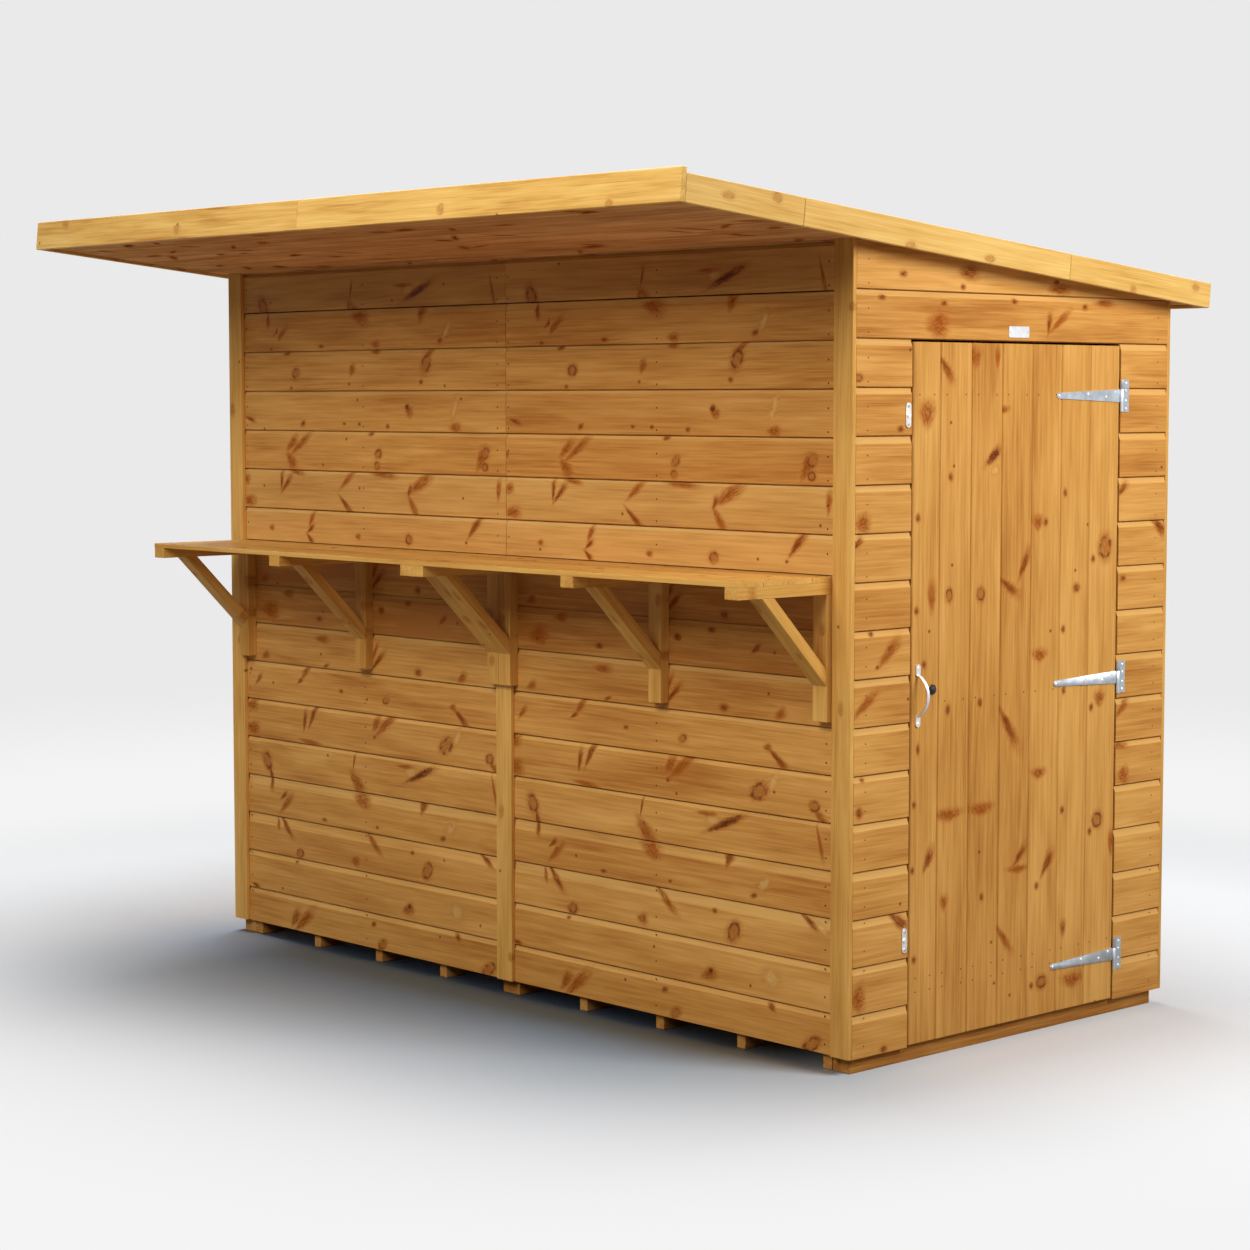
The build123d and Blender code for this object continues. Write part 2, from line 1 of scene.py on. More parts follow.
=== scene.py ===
import bmesh
import bpy
import json
import math
import random
from functools import partial
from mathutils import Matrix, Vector

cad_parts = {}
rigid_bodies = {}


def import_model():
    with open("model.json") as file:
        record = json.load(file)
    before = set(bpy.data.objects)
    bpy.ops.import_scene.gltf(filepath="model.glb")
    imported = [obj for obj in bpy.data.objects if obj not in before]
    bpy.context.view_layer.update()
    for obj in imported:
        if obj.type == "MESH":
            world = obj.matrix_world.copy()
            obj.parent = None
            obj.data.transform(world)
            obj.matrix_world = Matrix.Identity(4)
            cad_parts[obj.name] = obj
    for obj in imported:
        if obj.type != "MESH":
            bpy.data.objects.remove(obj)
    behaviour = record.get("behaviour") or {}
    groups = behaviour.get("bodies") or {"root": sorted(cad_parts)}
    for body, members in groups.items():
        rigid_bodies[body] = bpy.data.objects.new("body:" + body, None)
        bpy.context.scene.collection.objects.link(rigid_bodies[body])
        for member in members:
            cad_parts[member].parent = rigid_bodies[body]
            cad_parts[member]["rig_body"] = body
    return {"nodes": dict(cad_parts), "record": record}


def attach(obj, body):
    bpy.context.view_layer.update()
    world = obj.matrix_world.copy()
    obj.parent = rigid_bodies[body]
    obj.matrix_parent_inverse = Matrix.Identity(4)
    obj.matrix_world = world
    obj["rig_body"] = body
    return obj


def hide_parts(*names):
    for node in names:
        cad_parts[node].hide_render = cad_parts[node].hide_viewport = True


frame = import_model()
for spare in ("Cube", "Light", "Camera"):
    if spare in bpy.data.objects:
        bpy.data.objects.remove(bpy.data.objects[spare])
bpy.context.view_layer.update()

# Floor joists. Rough pine runners under the cabin, dipped in a honey stain with the
# rest, sawn square and left with sharp ends. The pine and the saw bench that every
# later timber uses are made here.


def colour(code):
    """Turns an sRGB hex code into linear red, green, blue and a full alpha."""
    parts = [int(code[i:i + 2], 16) / 255 for i in (1, 3, 5)]
    linear = [c / 12.92 if c <= 0.04045 else ((c + 0.055) / 1.055) ** 2.4 for c in parts]
    return (*linear, 1.0)


def wire(tree, kind, *feeds, **settings):
    """Adds a shader node, such as "Math ADD". Feeds fill its inputs in order, or by name or number from a dict."""
    kind, _, operation = kind.partition(" ")
    made = tree.nodes.new("ShaderNode" + kind)
    if operation:
        made.operation = operation
    for name, value in settings.items():
        setattr(made, name, value)
    for place, feed in enumerate(feeds):
        for name, value in (feed if isinstance(feed, dict) else {place: feed}).items():
            if isinstance(value, bpy.types.Node):
                value = value.outputs[0]
            if isinstance(value, bpy.types.NodeSocket):
                tree.links.new(value, made.inputs[name])
            else:
                made.inputs[name].default_value = value
    return made


SMOOTH = {"interpolation_type": "SMOOTHSTEP"}


def shades(add, level, *stops):
    """Turns a level into a colour between two stops, each a hex code and its place."""
    ramp = add("ValToRGB", level)
    for stop, (code, place) in zip(ramp.color_ramp.elements, stops):
        stop.color = colour(code)
        stop.position = place
    return ramp


def mix(add, share, one, two):
    """Goes from one colour to another, each a hex code or a socket, as a share rises from 0 to 1."""
    one, two = (colour(c) if isinstance(c, str) else c for c in (one, two))
    return add("Mix", share, {6: one, 7: two}, data_type="RGBA").outputs[2]


def noise(add, where, scale, detail=2.0):
    """Soft noise; a scale of three numbers draws it out, each saying how quickly it changes along an axis."""
    if isinstance(scale, tuple):
        where, scale = add("VectorMath MULTIPLY", where, scale), 1.0
    return add("TexNoise", {"Vector": where, "Scale": scale, "Detail": detail})


def bare_material(name):
    """A new material with an empty node tree, and the function that adds nodes to it."""
    material = bpy.data.materials.new(name)
    material.use_nodes = True
    material.node_tree.nodes.clear()
    return material, partial(wire, material.node_tree)


def stained_pine(name, pale, mid, deep, roughness=0.5, ring_mm=9, fibre=1.0, gloss=0.1):
    """Pine with growth rings, soft streaks and knots; its pattern comes from each board's own grain."""
    material, add = bare_material(name)
    grain = add("Attribute", attribute_name="grain").outputs["Vector"]
    tone = add("Attribute", attribute_name="tone").outputs["Vector"]
    tones = add("SeparateXYZ", tone).outputs

    # Knots: a dark heart crossed by strokes, a broken rim and a warm halo; a heart below 0 is a pale scar
    rough = noise(add, grain, 75.0).outputs["Color"]
    rough = add("VectorMath SUBTRACT", rough, (0.5, 0.5, 0.5))
    rough = add("VectorMath MULTIPLY", rough, (0.55, 0.55, 0))
    patches = noise(add, grain, 55.0)
    bends, darks, warms, pales = [], [], [], []
    for slot in "abc":
        spot = add("Attribute", attribute_name="knot_" + slot).outputs["Vector"]
        mark = add("Attribute", attribute_name="mark_" + slot).outputs["Vector"]
        marks = add("SeparateXYZ", mark).outputs
        shaken = add("VectorMath ADD", spot, rough)
        spots = add("SeparateXYZ", shaken).outputs
        width = add("Math MULTIPLY_ADD", spots[0], spots[2], 1.0)
        width = add("Math MAXIMUM", width, 0.2)
        q = add("Math DIVIDE", spots[1], width)
        shape = add("CombineXYZ", spots[0], q)
        away = add("VectorMath LENGTH", shape).outputs["Value"]
        lines = add("VectorMath MULTIPLY", shape, (1.6, 4.5, 1))
        lines = add("VectorMath ADD", lines, grain)
        stroke = noise(add, lines, 1.0, 3.0)
        stroke = add("MapRange", stroke, 0.36, 0.64)
        body = add("MapRange", away, 1.25, 0.35, **SMOOTH)
        halo = add("MapRange", away, 2.0, 0.3, **SMOOTH)
        rim = add("Math SUBTRACT", away, 0.88)
        rim = add("Math ABSOLUTE", rim)
        rim = add("MapRange", rim, 0.36, 0.0, **SMOOTH)
        broken = add("MapRange", patches, 0.4, 0.58)
        rim = add("Math MULTIPLY", rim, broken)
        rim = add("Math MULTIPLY", rim, marks[1])
        depth = add("MapRange", stroke, {3: 0.35, 4: 1.25})
        heart = add("Math MULTIPLY", body, depth)
        heart = add("Math MULTIPLY", heart, marks[0])
        darks.append(add("Math MAXIMUM", heart, rim))
        pales.append(add("Math MULTIPLY", heart, -1.0))
        soft = add("MapRange", stroke, {3: 0.55, 4: 1.25})
        soft = add("Math MULTIPLY", soft, halo)
        warms.append(add("Math MULTIPLY", soft, marks[2]))
        push = add("Math MULTIPLY", spots[1], halo)
        bends.append(add("Math MULTIPLY", push, -0.009))
    strongest = []
    for three in (darks, warms, pales):
        two = add("Math MAXIMUM", three[0], three[1])
        one = add("Math MAXIMUM", two, three[2], use_clamp=True)
        strongest.append(one)
    dark, warm, scar = strongest
    bend = add("Math ADD", bends[0], bends[1])
    bend = add("Math ADD", bend, bends[2])

    # The grain coordinate, shifted round the knots, with soft patches where the stain took more or less
    aside = add("CombineXYZ", {1: bend})
    bent = add("VectorMath ADD", grain, aside)
    blotch = noise(add, bent, (1.7, 7, 7))
    bands = noise(add, bent, (4, 26, 26), 3.0)

    # Growth rings round a pith that lies somewhere behind the board
    across = add("VectorMath MULTIPLY", bent, (0, 1, 1))
    radius = add("VectorMath LENGTH", across).outputs["Value"]
    drift = add("Math MULTIPLY_ADD", blotch, 0.05, radius)
    count = add("Math MULTIPLY", drift, 1000 / ring_mm)
    share = add("Math FRACT", count)
    rise = add("MapRange", share, 0.1, 0.85, **SMOOTH)
    fall = add("MapRange", share, 1.0, 0.85, **SMOOTH)
    ring = add("Math MULTIPLY", rise, fall)

    # Streaks about 6 mm wide, and fibres drawn 3 mm wide, coarser than real ones so that they show
    streaks = noise(add, bent, (3, 110, 110), 3.0)
    fibres = noise(add, bent, (8, 330, 330))

    # Tone from 0, deep, to 1, pale: each part swings about its own middle and adds to the board's tone
    level = add("Math ADD", tones[0], 0.5)
    for part, middle, weight in (
        (blotch, 0.5, 0.9), (bands, 0.5, 0.85), (streaks, 0.5, 0.75), (fibres, 0.5, 0.6 * fibre), (ring, 0.3, -0.08),
    ):
        level = add("Math MULTIPLY_ADD", part, weight, level)
        level = add("Math SUBTRACT", level, middle * weight)
    stops = shades(add, level, (deep, 0.08), (pale, 0.92))
    stops.color_ramp.elements.new(0.5).color = colour(mid)

    # Small pin knots, in one of every ten 110 mm cells
    cells = add("TexVoronoi", {"Vector": grain, "Scale": 9.0}, voronoi_dimensions="2D")
    pin = add("MapRange", cells.outputs["Distance"], 0.05, 0.02)
    pick = add("SeparateColor", cells.outputs["Color"])
    some = add("Math GREATER_THAN", pick, 0.9)
    pins = add("Math MULTIPLY", pin, some)
    pins = add("Math MULTIPLY", pins, tones[2])
    darkness = add("Math MAXIMUM", dark, pins, use_clamp=True)
    redness = add("Math MAXIMUM", warm, tones[1], use_clamp=True)

    # Thin stain shows the bare wood's yellow, and on the board scoops this yellow is partly painted highlight; knots
    # draw the stain in: orange brown round them, red brown inside
    thin = add("Math MULTIPLY", tones[1], -1.0, use_clamp=True)
    hue = mix(add, thin, stops, "#C9B575")
    hue = mix(add, redness, hue, "#A85612")
    hue = mix(add, darkness, hue, "#642404")
    hue = mix(add, scar, hue, "#E6B96E")

    lift = add("Math MULTIPLY_ADD", streaks, 0.4, fibres)
    relief = add("Bump", {"Height": lift, "Strength": 0.25, "Distance": 0.0005})
    shader = add("BsdfPrincipled", {"Base Color": hue, "Normal": relief, "Roughness": roughness,
                                    "Specular IOR Level": gloss})
    add("OutputMaterial", shader)
    return material


def write_grain(mesh, corners, name):
    """Stores one three-number value per face corner, which the pine reads."""
    layer = mesh.attributes.new(name, "FLOAT_VECTOR", "CORNER")
    layer.data.foreach_set("vector", [number for corner in corners for number in corner])


def add_piece(name, mesh, material, body, slot, *nodes):
    """Makes a mesh into one piece that rides with a body, and stands for any nodes named."""
    piece = bpy.data.objects.new(name, mesh)
    bpy.context.scene.collection.objects.link(piece)
    mesh.materials.append(material)
    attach(piece, body)
    if nodes:
        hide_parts(*nodes)
    return piece


def ease(node, name, material, arris):
    """Copies a node with its sharp edges eased, as one piece that rides with it and stands for it."""
    source = frame["nodes"][node]
    bm = bmesh.new()
    bm.from_mesh(source.data)
    bmesh.ops.remove_doubles(bm, verts=bm.verts, dist=1e-6)
    bmesh.ops.dissolve_limit(bm, angle_limit=math.radians(1), verts=bm.verts, edges=bm.edges)
    sharp = [e for e in bm.edges if len(e.link_faces) == 2 and e.calc_face_angle(0) > math.radians(25)]
    bmesh.ops.bevel(bm, geom=sharp, offset=arris, segments=1, affect="EDGES", clamp_overlap=True)
    mesh = bpy.data.meshes.new(name)
    bm.to_mesh(mesh)
    bm.free()
    slot = next(p["material_slot"] for p in frame["record"]["subparts"] if p["node"] == node)
    return add_piece(name, mesh, material, source["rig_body"], slot, node)


# What each face corner of a timber holds: its grain, its tone and pin knots, and the place and look of three knots
LAYERS = ("grain", "tone", "knot_a", "knot_b", "knot_c", "mark_a", "mark_b", "mark_c")
NO_KNOT, NO_MARK = (9, 9, 0), (0, 0, 0)
STICK_PINS, BOARD_PINS = 0.7, 0.8

# Each kind of knot: how dark its heart is, its rim, its halo, and how much wider its upper end is
ROUND = (-0.15, 0.9, 1.0, 0.0)
SPOT = (0.75, 0.2, 0.8, 0.0)
SPIKE = (0.65, 0.25, 1.0, 0.45)
BLACK = (1.2, 0.7, 0.8, 0.15)
SMEAR = (0.2, 0.1, 1.0, 0.3)
PALE = (-0.6, 0.1, 0.25, 0.0)
FAINT = (0.06, 0.3, 0.5, 0.1)


def saw(node, material, seed, shade=0.0, spread=0.07):
    """Stands timbers with eased edges in for a node's, each with a grain and two knots of its own."""
    piece = ease(node, node + "_sawn", material, arris=0.0012)
    dice = random.Random(seed)
    bm = bmesh.new()
    bm.from_mesh(piece.data)
    seen, sticks = set(), []
    for first in bm.verts:
        if first in seen:
            continue
        stack, stick = [first], []
        seen.add(first)
        while stack:
            vert = stack.pop()
            stick.append(vert)
            fresh = [e.other_vert(vert) for e in vert.link_edges if e.other_vert(vert) not in seen]
            seen.update(fresh)
            stack += fresh
        sticks.append(stick)
    values = {}
    for stick in sticks:
        edges = sorted({e for v in stick for e in v.link_edges}, key=lambda e: e.index)
        longest = max(edges, key=lambda e: e.calc_length())
        along = (longest.verts[1].co - longest.verts[0].co).normalized()
        widest = max(edges, key=lambda e: (e.verts[1].co - e.verts[0].co).cross(along).length)
        side = (widest.verts[1].co - widest.verts[0].co)
        side = (side - along * side.dot(along)).normalized()
        through = along.cross(side)
        pith = [dice.uniform(0, 40), dice.uniform(-0.05, 0.05), dice.choice((-1, 1)) * dice.uniform(0.03, 0.08)]
        middle = sum((v.co for v in stick), Vector()) / len(stick)
        lean = (shade + dice.uniform(-spread, spread), 0.0, STICK_PINS)
        local = {v.index: Vector([(v.co - middle).dot(axis) for axis in (along, side, through)]) for v in stick}
        reach = max(v.x for v in local.values())
        half = max(v.y for v in local.values())
        # One knot in each half of the stick's length, a little wider along it than across
        knots = [(dice.uniform(low, high) * reach, dice.uniform(-0.9, 0.9) * half, dice.uniform(0.008, 0.016),
                  dice.uniform(0.006, 0.012)) for low, high in ((-0.85, -0.1), (0.1, 0.85))]
        *look, taper = FAINT
        for vert, spot in local.items():
            marks = [((spot.x - x) / a, (spot.y - y) / b, taper) for x, y, a, b in knots]
            values[vert] = (tuple(spot + Vector(pith)), lean, *marks, NO_KNOT, look, look, NO_MARK)
    bm.free()
    corners = [loop.vertex_index for loop in piece.data.loops]
    for number, layer in enumerate(LAYERS):
        write_grain(piece.data, [values[i][number] for i in corners], layer)


# Sawn pine, dip stained: dull, with raised fibres and a deeper, uneven brown
rough_pine = stained_pine("sawn_pine_dip_stained", "#D8A25F", "#C0843F", "#A06428", roughness=0.72, fibre=1.2)
saw("floor_joists", rough_pine, seed=11, shade=-0.05)

# Wall frames. Planed pine studs and rails nailed up as panels, with the roof's joists
# over them, all of the same stained stock as the floor joists.
frame_nodes = (
    "front_studs", "front_rails", "rear_studs", "rear_rails", "left_wall_studs", "left_wall_rails",
    "door_wall_studs", "door_wall_rails", "roof_joists", "roof_deck",
)
for number, node in enumerate(frame_nodes):
    saw(node, rough_pine, seed=20 + number)

# Wall boards. Pine shiplap, machined with a scoop along the top edge that the board
# above laps over, so that each joint shows a pale hollow under a thin dark line; the
# hollow's paleness is partly painted highlight. The boards are nailed to the studs, and
# knots stand where the tree's branches were.
ROW, ROWS, ROW_LOW = 0.1107, 18, 0.0255
BOARD_T, LAP_DEPTH = 0.012, 0.005
WALL_X, WALL_Y, WALL_FOOT, WALL_HEAD = 1.22, 0.579, 0.038, 1.93
RIGHT, LEFT, FRONT, REAR, UP = (1, 0, 0), (-1, 0, 0), (0, -1, 0), (0, 1, 0), (0, 0, 1)
SHELF_TOP, SHUTTER_HEAD, HEADER_LOW = 1.148, 1.798, 1.688
# The underside of the roof falls towards the rear from a point over the front wall
ROOF_POINT = Vector((0, -0.591, 1.912))


def shiplap(scoop, low=0.0, high=ROW):
    """The outline of a board's end as (height, depth) points, cut off at a lower and an upper edge."""
    outline = [(0.0, 0.0014), (0.0012, 0.0), (ROW - scoop, 0.0)]
    for step in range(1, 7):
        turn = step / 6
        outline.append((ROW - scoop + turn * (scoop - 0.003), LAP_DEPTH * (1 - (1 - turn) ** 1.7)))
    outline += [(ROW - 0.003, 0.0085), (ROW, 0.0085), (ROW, BOARD_T - 0.0008), (ROW - 0.001, BOARD_T)]
    outline += [(0.001, BOARD_T), (0.0, BOARD_T - 0.0008)]
    for limit, keep_above in ((low, True), (high, False)):
        kept = []
        for one, two in zip(outline, outline[1:] + outline[:1]):
            inside_one = (one[0] >= limit - 1e-7) if keep_above else (one[0] <= limit + 1e-7)
            inside_two = (two[0] >= limit - 1e-7) if keep_above else (two[0] <= limit + 1e-7)
            if inside_one:
                kept.append(one)
            if inside_one != inside_two:
                part = (limit - one[0]) / (two[0] - one[0])
                kept.append((limit, one[1] + part * (two[1] - one[1])))
        outline = kept
    return outline


def new_stack():
    """An empty pile of boards that become one mesh."""
    return {key: [] for key in ("points", "faces", *LAYERS)}


def lay(stack, start, along, up, out, length, outline, dice, knots, shade, red=0.0, scoop_pale=0.0):
    """Adds one board; knots are (along, up, length, width, degrees, kind) in mm from the board's start."""
    along, up, out = Vector(along), Vector(up), Vector(out)
    pith = Vector((dice.uniform(0, 60), dice.uniform(-0.12, 0.05), dice.uniform(0.03, 0.09)))
    marks = sorted(k for k in knots if -30 < k[0] < length * 1000 + 30)
    groups = []
    for knot in marks:
        angle = math.radians(knot[4])
        half = 0.8 * abs(knot[2] * math.cos(angle)) + 0.8 * abs(knot[3] * math.sin(angle)) + 4
        span = [knot[0] - half, knot[0] + half]
        if groups and span[0] < groups[-1][1] and len(groups[-1][2]) < 3:
            groups[-1][1] = max(groups[-1][1], span[1])
            groups[-1][2].append(knot)
        else:
            groups.append([span[0], span[1], [knot]])
    cuts = [0.0] + [(a[1] + b[0]) / 2000 for a, b in zip(groups, groups[1:])] + [length]
    cuts = [min(max(c, 0.0), length) for c in cuts]
    count = len(outline)
    rings = []
    for cut in cuts:
        rings.append(len(stack["points"]))
        stack["points"] += [Vector(start) + along * cut + up * h - out * d for h, d in outline]

    def corner(ring, index, group):
        x, (h, d) = cuts[ring], outline[index % count]
        stack["grain"].append(tuple(Vector((x, h, d)) + pith))
        # The scoop is painted paler and yellower: partly the lighter stain a machined face takes, and partly painted
        # highlight where it faces up into the light
        scooped = 0.0004 < d < 0.0055 and h > 0.05
        stack["tone"].append((shade + scoop_pale, red - 0.18, BOARD_PINS) if scooped else (shade, red, BOARD_PINS))
        for slot, knot in zip("abc", group + [None] * 3):
            if knot is None:
                stack["knot_" + slot].append(NO_KNOT)
                stack["mark_" + slot].append(NO_MARK)
                continue
            angle = math.radians(knot[4])
            dx, dy = x * 1000 - knot[0], h * 1000 - knot[1]
            p = (dx * math.cos(angle) + dy * math.sin(angle)) / (knot[2] / 2)
            q = (dy * math.cos(angle) - dx * math.sin(angle)) / (knot[3] / 2)
            kind = knot[5]
            stack["knot_" + slot].append((p, q, kind[3]))
            stack["mark_" + slot].append(kind[:3])

    for part in range(len(cuts) - 1):
        group = groups[part][2] if groups else []
        for i in range(count):
            j = (i + 1) % count
            stack["faces"].append((rings[part] + i, rings[part] + j, rings[part + 1] + j, rings[part + 1] + i))
            for ring, index in ((part, i), (part, j), (part + 1, j), (part + 1, i)):
                corner(ring, index, group)
    stack["faces"].append(tuple(rings[0] + i for i in reversed(range(count))))
    for i in reversed(range(count)):
        corner(0, i, [])
    stack["faces"].append(tuple(rings[-1] + i for i in range(count)))
    for i in range(count):
        corner(len(cuts) - 1, i, [])


def raise_boards(stack, name, body, material, slot, node, cut=None):
    """Turns a pile of boards into one piece that stands for a node; cut is a plane that trims their tops."""
    mesh = bpy.data.meshes.new(name)
    mesh.from_pydata(stack["points"], [], stack["faces"])
    for layer in LAYERS:
        write_grain(mesh, stack[layer], layer)
    bm = bmesh.new()
    bm.from_mesh(mesh)
    if cut:
        everything = bm.verts[:] + bm.edges[:] + bm.faces[:]
        bmesh.ops.bisect_plane(bm, geom=everything, plane_co=cut[0], plane_no=cut[1], clear_outer=True)
        bmesh.ops.holes_fill(bm, edges=[e for e in bm.edges if e.is_boundary], sides=0)
    bmesh.ops.recalc_face_normals(bm, faces=bm.faces)
    bm.to_mesh(mesh)
    bm.free()
    add_piece(name, mesh, material, body, slot, node)


def heads(name, spots, out, radius, rise, dip, material, body="cabin", slot="cladding_boards"):
    """Nail or screw heads as one piece: low domes on (x, y, z) spots, dished in the middle by dip."""
    out = Vector(out)
    side = out.orthogonal().normalized()
    over = out.cross(side)
    points, faces = [], []
    for spot in spots:
        first = len(points)
        for share, height in ((1.0, -0.0002), (1.0, rise * 0.35), (0.72, rise), (0.4, rise), (0.25, rise - dip)):
            for step in range(10):
                turn = math.tau * step / 10
                ray = side * math.cos(turn) + over * math.sin(turn)
                points.append(Vector(spot) + ray * radius * share + out * height)
        for ring in range(4):
            for step in range(10):
                a, b = first + ring * 10 + step, first + ring * 10 + (step + 1) % 10
                faces.append((a, b, b + 10, a + 10))
        faces.append(tuple(first + 40 + step for step in range(10)))
        faces.append(tuple(first + step for step in reversed(range(10))))
    mesh = bpy.data.meshes.new(name)
    mesh.from_pydata(points, [], faces)
    add_piece(name, mesh, material, body, slot)


# The knots of one front panel, row by row from the ground; both panels come from the same run of boards
FRONT_KNOTS = {
    0: [(231, 47, 52, 24, 52, SMEAR), (272, 45, 96, 24, 38, SMEAR), (597, 80, 20, 14, 20, SPOT),
        (635, 28, 36, 22, 30, ROUND), (962, 95, 26, 14, -35, SPOT), (1092, 28, 56, 28, 30, ROUND)],
    1: [(36, 8, 36, 11, -12, SPIKE), (238, 99, 14, 9, 0, SPOT), (757, 40, 17, 16, 0, BLACK),
        (750, 30, 44, 24, 20, SMEAR), (960, 52, 46, 50, 60, PALE)],
    2: [(150, 90, 32, 10, -70, SMEAR), (187, 88, 80, 14, -43, SPIKE), (257, 15, 32, 24, 10, ROUND),
        (515, 24, 30, 22, 0, SMEAR), (597, 84, 80, 15, -38, SMEAR), (770, 78, 15, 11, 0, SPOT),
        (835, 36, 48, 34, 55, ROUND), (1078, 96, 60, 12, -28, SPIKE), (1122, 82, 60, 16, -30, PALE)],
    3: [(120, 98, 40, 12, -80, SPIKE), (180, 62, 34, 11, 35, SPIKE), (192, 40, 64, 17, 42, SMEAR),
        (373, 14, 20, 9, 0, SPOT), (545, 90, 58, 30, -12, SMEAR), (615, 19, 12, 8, 0, SPOT),
        (815, 98, 36, 24, 75, SPIKE), (902, 21, 22, 12, 15, SPOT), (935, 52, 50, 26, 40, PALE)],
    4: [(102, 46, 50, 34, -60, ROUND), (120, 12, 40, 13, -72, SPIKE), (512, 79, 44, 6, 78, SPIKE),
        (512, 36, 26, 18, 0, ROUND), (526, 24, 66, 30, -48, SMEAR),
        (739, 89, 60, 10, 0, SMEAR), (763, 76, 44, 22, 10, PALE), (805, 72, 118, 18, 22, BLACK),
        (1115, 62, 70, 9, -75, SMEAR)],
    5: [(30, 92, 42, 26, 0, SMEAR), (34, 24, 50, 34, 0, SMEAR), (284, 64, 52, 13, 80, SPIKE),
        (304, 7, 80, 12, -5, SMEAR), (322, 82, 72, 15, 62, SPIKE), (614, 85, 40, 22, 55, SMEAR),
        (606, 47, 12, 10, 0, SPOT), (655, 86, 92, 22, 38, SMEAR),
        (918, 51, 54, 36, 28, ROUND), (966, 78, 50, 22, 65, PALE), (1098, 33, 30, 26, 0, ROUND),
        (1114, 12, 42, 16, -35, SMEAR)],
    6: [(25, 85, 12, 9, 0, SPOT), (62, 57, 36, 12, 45, SMEAR), (262, 66, 28, 10, 28, SPIKE),
        (287, 92, 44, 16, 50, SMEAR), (455, 52, 18, 10, 0, SPOT), (658, 42, 26, 18, 15, ROUND),
        (945, 46, 22, 15, 0, SMEAR), (978, 22, 74, 15, -38, SPIKE)],
    7: [(33, 45, 12, 8, 0, SPOT), (98, 18, 30, 17, 20, SMEAR), (368, 82, 50, 17, 0, SMEAR),
        (388, 8, 24, 9, 20, SPOT), (610, 60, 50, 9, 62, SMEAR), (620, 34, 74, 12, 42, SPIKE),
        (800, 18, 28, 18, 0, SPOT), (986, 17, 32, 18, 30, SMEAR)],
    8: [(125, 40, 60, 40, 0, SMEAR), (210, 90, 40, 18, 0, SMEAR), (357, 27, 28, 14, 0, SPOT),
        (640, 66, 26, 18, 0, SPOT), (757, 90, 24, 12, 0, SPOT), (905, 54, 34, 12, 35, SPIKE),
        (967, 50, 9, 7, 0, SPOT)],
    10: [(134, 55, 18, 12, 0, SMEAR), (325, 84, 40, 14, 60, SMEAR), (319, 56, 36, 11, 35, SPIKE),
         (316, 30, 36, 12, -40, SPIKE), (538, 43, 20, 13, 0, SMEAR), (763, 43, 27, 24, 0, ROUND),
         (806, 13, 60, 7, 0, SMEAR), (1005, 43, 10, 8, 0, SPOT), (1038, 83, 68, 17, 48, SPIKE)],
    11: [(13, 80, 26, 20, 0, SMEAR), (25, 18, 50, 24, 0, SMEAR), (185, 77, 50, 11, 85, SPIKE),
         (208, 70, 62, 13, 45, SPIKE), (255, 103, 60, 10, -8, SMEAR), (489, 85, 60, 15, 38, SMEAR),
         (483, 18, 72, 14, -40, SPIKE), (650, 103, 90, 12, -3, SMEAR), (768, 62, 30, 14, 60, SPIKE),
         (781, 22, 58, 18, -55, SMEAR), (812, 82, 84, 26, 28, SMEAR), (1138, 72, 44, 14, 85, SMEAR)],
    12: [(3, 56, 14, 14, 0, SMEAR), (231, 26, 46, 26, -45, SMEAR), (235, 73, 52, 20, 38, SMEAR),
         (275, 72, 84, 17, 33, SMEAR), (597, 103, 22, 10, 0, SPOT), (632, 49, 28, 23, 40, ROUND),
         (626, 17, 21, 19, 0, ROUND), (1069, 42, 56, 26, 60, SMEAR), (1085, 57, 33, 26, 40, ROUND),
         (1083, 21, 23, 21, 0, ROUND)],
    13: [(34, 31, 44, 10, -15, SPIKE), (289, 19, 22, 14, 30, SPOT), (480, 20, 14, 8, 0, SPOT),
         (548, 19, 12, 9, 0, SPOT), (674, 14, 15, 12, 0, SPOT), (759, 66, 18, 16, 0, BLACK),
         (765, 56, 30, 22, -30, SMEAR), (961, 66, 72, 16, 70, PALE), (961, 12, 36, 20, 0, SMEAR)],
    14: [(212, 104, 24, 11, 0, SPOT), (235, 7, 12, 9, 0, SPOT), (257, 48, 32, 27, 20, ROUND),
         (503, 18, 9, 8, 0, SPOT), (516, 56, 28, 18, 60, SMEAR), (618, 105, 32, 10, 0, SMEAR),
         (819, 22, 15, 12, 0, SPOT), (840, 70, 46, 33, 60, ROUND), (850, 95, 40, 14, 40, SMEAR)],
    15: [(124, 89, 38, 13, -80, SPIKE), (141, 7, 14, 8, 0, SPOT), (172, 60, 44, 12, 35, SPIKE),
         (187, 46, 66, 15, 38, SMEAR), (376, 12, 22, 10, 0, SPOT), (551, 88, 60, 28, -12, SMEAR),
         (622, 14, 30, 16, 0, SMEAR), (820, 93, 36, 24, 75, SMEAR), (900, 20, 22, 14, 15, SPOT),
         (927, 46, 60, 18, 60, PALE)],
}
# Three rows repeat the knots of others: the row they repeat, and how far their knots are moved up
REPEATS = {9: (7, 0), 16: (4, -30), 17: (5, 0)}
for row, (source, rise) in REPEATS.items():
    FRONT_KNOTS[row] = [(k[0], k[1] + rise, *k[2:]) for k in FRONT_KNOTS[source]]
FRONT_SCOOPS = (16, 17, 30, 28, 12, 13, 13, 15, 16, 14, 12, 10, 12, 12, 12, 20, 10, 12)
# Rows 8 and 9, under the bar shelf, are made much darker: painted shade from the shelf, which the end and rear walls
# that reuse these tones carry too
FRONT_TONES_AND_SHELF_SHADE = (0, 0.1, 0.07, -0.04, -0.02, -0.03, -0.04, -0.04, -0.32,
               -0.26, 0.16, 0.08, -0.04, 0.04, -0.02, -0.18, -0.08, 0)


